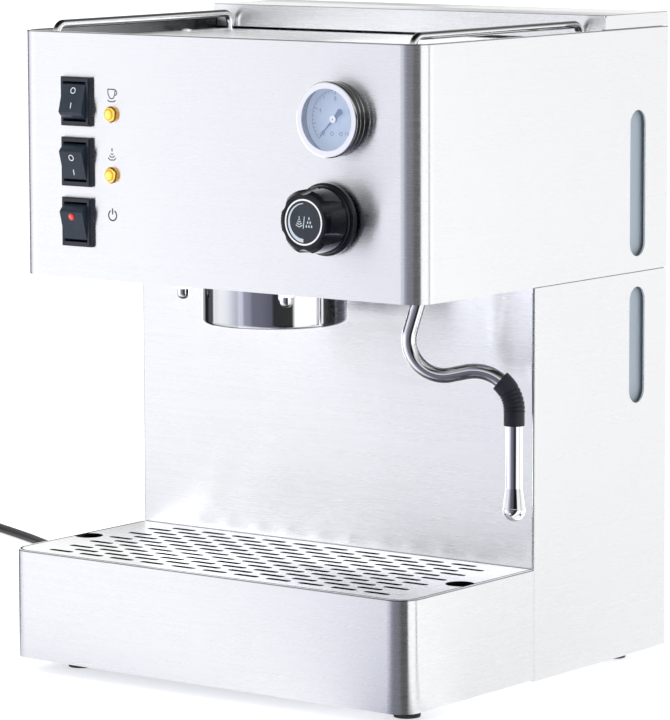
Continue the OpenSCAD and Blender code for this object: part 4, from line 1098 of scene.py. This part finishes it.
@dataclass
class MainsCord:
    """The mains cord, wound into a coil beside the machine, with its plug.

    The coil's turns start lead degrees past the end of the route, and end at the angle end. Between
    the angles of inwards, outwards and upwards it narrows, widens and climbs onto itself.
    """

    diameter: float = 0.006
    front: float = -0.1136
    centre: Flat = (-0.540, 0.337)
    turns: Flat = (0.036, 0.030)
    lead: float = 12.0
    end: float = 1256.0
    step: float = 10.0
    settle: float = 30.0
    inwards: Flat = (387.0, 427.0)
    outwards: Flat = (1020.0, 1060.0)
    upwards: Flat = (700.0, 747.0)
    low: float = 0.003
    high: float = 0.009
    route: tuple[Point, ...] = (
        (-80, 282, 24), (-80, 287, 24), (-80, 292, 24), (-82, 304, 20.5), (-88, 316, 13),
        (-98, 325, 7), (-112, 331, 4), (-130, 333, 3), (-160, 331, 3), (-200, 324, 3),
        (-240, 315, 3), (-280, 307, 3), (-320, 303, 3), (-350, 303, 3), (-380, 308, 3),
        (-406, 318, 3), (-422, 326, 3), (-444, 336, 3), (-472, 348, 3), (-495, 358, 3),
        (-512, 366, 3), (-526, 371, 3),
    )
    tail: tuple[Point, ...] = (
        (-576, 330, 9), (-576, 318, 9.6), (-576, 306, 11.5), (-576, 295, 14.5), (-576, 284, 17.6),
        (-576, 276, 18.5), (-576, 271, 18.5), (-576, 266, 18.5),
    )

    def line(self) -> list[Vector]:
        """Points of the whole cord from the strain relief to the plug.

        Returns:
            The points, in metres.
        """
        shift = Vector((0.0, self.front, 0.0))
        points = [p * MM + shift for p in catmull(self.route, 4)]
        cx, cy = self.centre
        side, ahead = points[-1].x - cx, points[-1].y - shift.y - cy
        start, begin = math.degrees(math.atan2(ahead, side)), math.hypot(ahead, side)
        outer, inner = self.turns
        angle = start + self.lead
        while angle < self.end:
            radius = outer + (begin - outer) * (1.0 - ease(angle, start, start + self.settle))
            radius += (inner - outer) * (ease(angle, *self.inwards) - ease(angle, *self.outwards))
            height = self.low + (self.high - self.low) * ease(angle, *self.upwards)
            turn = math.radians(angle)
            points.append(Vector((cx + radius * math.cos(turn), cy + radius * math.sin(turn), height)) + shift)
            angle += self.step
        points.append(Vector((cx - outer, cy, self.high)) + shift)
        points += [p * MM + shift for p in catmull(self.tail, 4)]
        return points

    def build(self, paint: PaintShop) -> None:
        """Args:
            paint: the finishes.
        """
        points = self.line()
        curve = bpy.data.curves.new("mains_cord", "CURVE")
        curve.dimensions = "3D"
        curve.bevel_depth = self.diameter / 2
        curve.bevel_resolution = 5
        curve.use_fill_caps = True
        spline = curve.splines.new("POLY")
        spline.points.add(len(points) - 1)
        for slot, point in zip(spline.points, points):
            slot.co = (*point, 1.0)
        spline.use_smooth = True
        cord = new_piece("mains_cord", curve)
        cord.data.materials.append(paint.get("cord_rubber"))
        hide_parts("power_cord", "cord_coil")
        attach(cord, "machine")


class Side(Enum):
    """Which end of a rocker is pressed in at rest."""

    TOP = -1
    BOTTOM = 1


@dataclass
class Rocker:
    """The marks on one rocker, laid on its tilted face: a ring over a bar, or a lens where it is lit."""

    body: str
    height: float
    pressed: Side
    lit: bool = False
    x: float = -0.0994
    y: float = -0.1116
    face: float = 0.0074
    tilt: float = 15.0
    ink: float = 0.00008
    ring: float = 0.00165
    ring_line: float = 0.00045
    ring_up: float = 0.0046
    bar: float = 0.0017
    bar_line: float = 0.0005
    bar_up: float = -0.0042
    lens: float = 0.0023
    lens_up: float = 0.0054
    bulge: float = 0.45

    def place(self, up: float) -> Matrix:
        """Frame on the rocker's face.

        Args:
            up: distance above the rocker's axis along its face.

        Returns:
            The frame, with local z out of the face.
        """
        turn = Matrix.Rotation(math.radians(self.tilt * self.pressed.value), 4, "X")
        out = Matrix.Translation((0.0, -self.face, up)) @ Matrix.Rotation(math.radians(90.0), 4, "X")
        return Matrix.Translation((self.x, self.y, self.height)) @ turn @ out

    def build(self, paint: PaintShop) -> None:
        """Makes the marks or the lens.

        Args:
            paint: the finishes.
        """
        bm = bmesh.new()
        if self.lit:
            flat = Matrix.Diagonal((1.0, 1.0, self.bulge, 1.0))
            bmesh.ops.create_uvsphere(
                bm, u_segments=32, v_segments=16, radius=self.lens, matrix=self.place(self.lens_up) @ flat)
            piece, slot = finish_mesh(f"{self.body}_lens", bm), "red_lens"
        else:
            ring, bar = arc(self.ring, 0.0, 360.0, 40), [(0.0, -self.bar), (0.0, self.bar)]
            add_stroke(bm, ring, self.ring_line, self.ink, self.place(self.ring_up), True)
            add_stroke(bm, bar, self.bar_line, self.ink, self.place(self.bar_up))
            piece, slot = finish_mesh(f"{self.body}_marks", bm), "white_ink"
        paint.dress(piece, slot)
        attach(piece, self.body)


@dataclass
class PanelPrints:
    """The small printed signs beside the switches."""

    front: float = -0.1136
    x: float = -0.0738
    ink: float = 0.00005
    line: float = 0.00048
    scale: float = 1.24
    heights: tuple[float, float, float] = (0.3432, 0.3082, 0.2736)

    @staticmethod
    def cup(pen: Pen) -> None:
        """Draws a cup with its handle and a saucer.

        Args:
            pen: what draws it.
        """
        pen.line([(-0.0022, 0.0026), (-0.0021, 0.0004), (-0.0012, -0.0014), (0.0, -0.0018), (0.0012, -0.0014),
                  (0.0020, 0.0004), (0.0022, 0.0026)])
        pen.line([(-0.0022, 0.0026), (0.0022, 0.0026)])
        pen.line(arc(0.0011, -80.0, 90.0, 12, (0.0021, 0.0010)))
        pen.line(arc(0.0046, 238.0, 302.0, 12, (0.0, 0.0014)))

    @staticmethod
    def steam(pen: Pen) -> None:
        """Draws a nozzle over three widening waves.

        Args:
            pen: what draws it.
        """
        pen.line([(0.0, 0.0034), (0.0, 0.0020)], 1.3)
        for reach, depth in ((0.0008, 0.0006), (0.0016, -0.0008), (0.0024, -0.0022)):
            inner, high = reach * 0.35, depth + reach * 0.45
            pen.line([(-reach, high), (-inner, depth), (0.0, depth + reach * 0.12), (inner, depth), (reach, high)])

    @staticmethod
    def power(pen: Pen) -> None:
        """Draws an open ring with an upright bar."""
        pen.line(arc(0.0024, 118.0, 422.0, 40), 1.35)
        pen.line([(0.0, 0.0033), (0.0, 0.0004)], 1.35)

    def build(self, paint: PaintShop) -> None:
        """Makes the three signs as one piece.

        Args:
            paint: the finishes.
        """
        bm = bmesh.new()
        larger = Matrix.Diagonal((self.scale, self.scale, 1.0, 1.0))
        for draw, height in zip((self.cup, self.steam, self.power), self.heights):
            draw(Pen(bm, self.line, self.ink, front_place(self.x, self.front, height) @ larger))
        piece = finish_mesh("panel_prints", bm, None)
        paint.dress(piece, "grey_ink")
        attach(piece, "machine")


@dataclass
class KnobPrint:
    """Ring, widening arc and signs on the steam knob's cap.

    jet is how far the steam sign stands from the axis, and waves the reach and height of its waves.
    The hot water's drops stand in rows below drops_at.
    """

    x: float = 0.0836
    z: float = 0.2803
    ink: float = 0.00006
    line: float = 0.0005
    ring: float = 0.0124
    ring_line: float = 0.0009
    disc: float = 0.0003
    sweep: float = 0.0103
    ends: Flat = (92.0, 268.0)
    thin: float = 0.0004
    widening: float = 0.0017
    jet: float = -0.0032
    waves: tuple[Flat, ...] = ((0.0006, 0.0014), (0.0012, 0.0), (0.0018, -0.0014), (0.0023, -0.0028))
    stem: Flat = (0.0032, 0.0022)
    parting: tuple[Flat, Flat] = ((0.0004, 0.0032), (-0.0004, -0.0036))
    drop: tuple[Flat, ...] = ((0.0, 0.0013), (-0.00055, 0.0), (0.0, -0.0006), (0.00055, 0.0))
    drops_at: Flat = (0.0036, 0.0020)
    drops_apart: Flat = (0.0018, 0.0022)

    def build(self, paint: PaintShop) -> None:
        """Makes the print; it turns with the knob.

        Args:
            paint: the finishes.
        """
        low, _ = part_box("knob_cap")
        rim = front_place(self.x, low.y, self.z)
        disc = front_place(self.x, low.y + self.disc, self.z)
        bm = bmesh.new()
        add_stroke(bm, arc(self.ring, 0.0, 360.0, 96), self.ring_line, self.ink, rim, True)
        white = finish_mesh("knob_ring", bm, None)
        bm = bmesh.new()
        sweep = arc(self.sweep, *self.ends, 48)
        last = len(sweep) - 1
        add_stroke(bm, sweep, [self.thin + self.widening * i / last for i in range(last + 1)], self.ink, disc)
        pen = Pen(bm, self.line, self.ink, disc)
        for reach, depth in self.waves:
            high = depth + reach * 0.5
            pen.line([(self.jet - reach, high), (self.jet, depth), (self.jet + reach, high)])
        pen.line([(self.jet, up) for up in self.stem])
        pen.line(self.parting)
        for row in range(3):
            for i in range(row + 1):
                x = self.drops_at[0] + (i - row / 2) * self.drops_apart[0]
                y = self.drops_at[1] - row * self.drops_apart[1]
                add_plate(bm, [(x + dx, y + dy) for dx, dy in self.drop], self.ink, disc)
        signs = finish_mesh("knob_signs", bm, None)
        paint.dress(white, "white_ink")
        paint.dress(signs, "silver_ink")
        for piece in (white, signs):
            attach(piece, "steam_knob")


@dataclass
class GaugeScale:
    """Scale, figures and hub of the pressure gauge.

    The scale runs from 0 to last, with long_tick and short_tick as the radii where ticks begin.
    Three small rings stand below the hub.
    """

    x: float = 0.0882
    z: float = 0.3360
    ink: float = 0.00005
    start: float = 225.0
    sweep: float = 270.0
    last: int = 16
    figure_size: float = 0.0034
    figure_radius: float = 0.0112
    long_tick: float = 0.0134
    short_tick: float = 0.0145
    tick_end: float = 0.0158
    line: float = 0.0004
    fine_line: float = 0.00022
    rim: float = 0.0159
    rim_line: float = 0.00025
    ring: float = 0.0010
    rings: tuple[Flat, ...] = ((-0.0085, -0.0082), (-0.0023, -0.0082), (0.0040, -0.0082))
    hub: float = 0.0013
    hub_line: float = 0.0014
    hub_ink: float = 0.0002

    def angle(self, value: float) -> float:
        """Direction of a value on the scale, in radians."""
        return math.radians(self.start - self.sweep * value / self.last)

    def figures(self, y: float) -> list[Piece]:
        """Makes the plain figures round the scale, as meshes.

        Args:
            y: where the dial's front is.

        Returns:
            The pieces.
        """
        made = []
        for value in range(0, self.last + 1, 4):
            angle = self.angle(value)
            text = bpy.data.curves.new(f"figure_{value}", "FONT")
            text.body = str(value)
            text.size = self.figure_size
            text.align_x, text.align_y = "CENTER", "CENTER"
            text.extrude = self.ink / 2
            holder = new_piece(text.name, text)
            bpy.context.view_layer.update()
            mesh = bpy.data.meshes.new_from_object(holder)
            bpy.data.objects.remove(holder)
            across, up = (self.figure_radius * turn(angle) for turn in (math.cos, math.sin))
            mesh.transform(front_place(self.x + across, y - self.ink / 2, self.z + up))
            made.append(new_piece(f"figure_{value}", mesh))
        return made

    def build(self, paint: PaintShop) -> None:
        """Makes the scale on the dial and the ring on the needle's hub.

        Args:
            paint: the finishes.
        """
        dial_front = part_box("gauge_dial")[0].y
        place = front_place(self.x, dial_front, self.z)
        bm = bmesh.new()
        for i in range(2 * self.last + 1):
            angle, long = self.angle(i / 2), i % 4 == 0
            radii = (self.long_tick if long else self.short_tick, self.tick_end)
            tick = [(radius * math.cos(angle), radius * math.sin(angle)) for radius in radii]
            add_stroke(bm, tick, self.line if long else self.fine_line, self.ink, place)
        rim = arc(self.rim, self.start - self.sweep, self.start, 72)
        add_stroke(bm, rim, self.rim_line, self.ink, place)
        for centre in self.rings:
            add_stroke(bm, arc(self.ring, 0.0, 360.0, 24, centre), self.line, self.ink, place, True)
        scale = finish_mesh("gauge_scale", bm, None)
        for piece in [scale, *self.figures(dial_front)]:
            paint.dress(piece, "gauge_ink")
            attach(piece, "machine")
        needle_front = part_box("gauge_needle")[0].y
        bm = bmesh.new()
        hub = front_place(self.x, needle_front, self.z)
        add_stroke(bm, arc(self.hub, 0.0, 360.0, 32), self.hub_line, self.hub_ink, hub, True)
        ring = finish_mesh("needle_hub", bm)
        paint.dress(ring, "hub_white")
        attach(ring, "gauge_needle")


@dataclass
class CadDress:
    """Gives every node of the frame its finish; overrides sets some apart from their slot."""

    overrides: dict[str, str] = field(default_factory=lambda: {
        "gauge_bezel": "gauge_chrome", "drip_grid": "grid_sheet", "wand_nozzle": "chrome_nozzle",
        "head_shell": "head_sheet", "base_shell": "base_sheet", "tank_lid": "lid_sheet"})

    def build(self, frame: dict, paint: PaintShop) -> None:
        """Dresses each CAD node.

        Args:
            paint: the finishes.
        """
        slots = {entry["node"]: entry["material_slot"] for entry in frame["record"]["subparts"]}
        for name, node in frame["nodes"].items():
            paint.dress(node, self.overrides.get(name, slots[name]))


@dataclass
class EspressoMachine:
    """The whole machine."""

    studio: Studio = field(default_factory=Studio)
    cord: MainsCord = field(default_factory=MainsCord)
    prints: PanelPrints = field(default_factory=PanelPrints)
    knob: KnobPrint = field(default_factory=KnobPrint)
    gauge: GaugeScale = field(default_factory=GaugeScale)
    dress: CadDress = field(default_factory=CadDress)
    rockers: tuple[Rocker, ...] = (
        Rocker("rocker_brew", 0.3386, Side.TOP),
        Rocker("rocker_steam", 0.3036, Side.BOTTOM),
        Rocker("rocker_power", 0.2686, Side.BOTTOM, lit=True),
    )

    def build(self, frame: dict) -> None:
        """Builds the camera and cord first, then every other piece.
        """
        paint = PaintShop()
        self.studio.camera()
        self.cord.build(paint)
        self.studio.build()
        self.dress.build(frame, paint)
        for part in (*self.rockers, self.prints, self.knob, self.gauge):
            part.build(paint)


def main() -> None:
    """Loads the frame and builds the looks."""
    logging.basicConfig(level=logging.INFO, format="%(name)s: %(message)s")
    for item in list(bpy.data.objects):
        bpy.data.objects.remove(item)
    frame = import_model()
    EspressoMachine().build(frame)


if __name__ == "__main__":
    main()
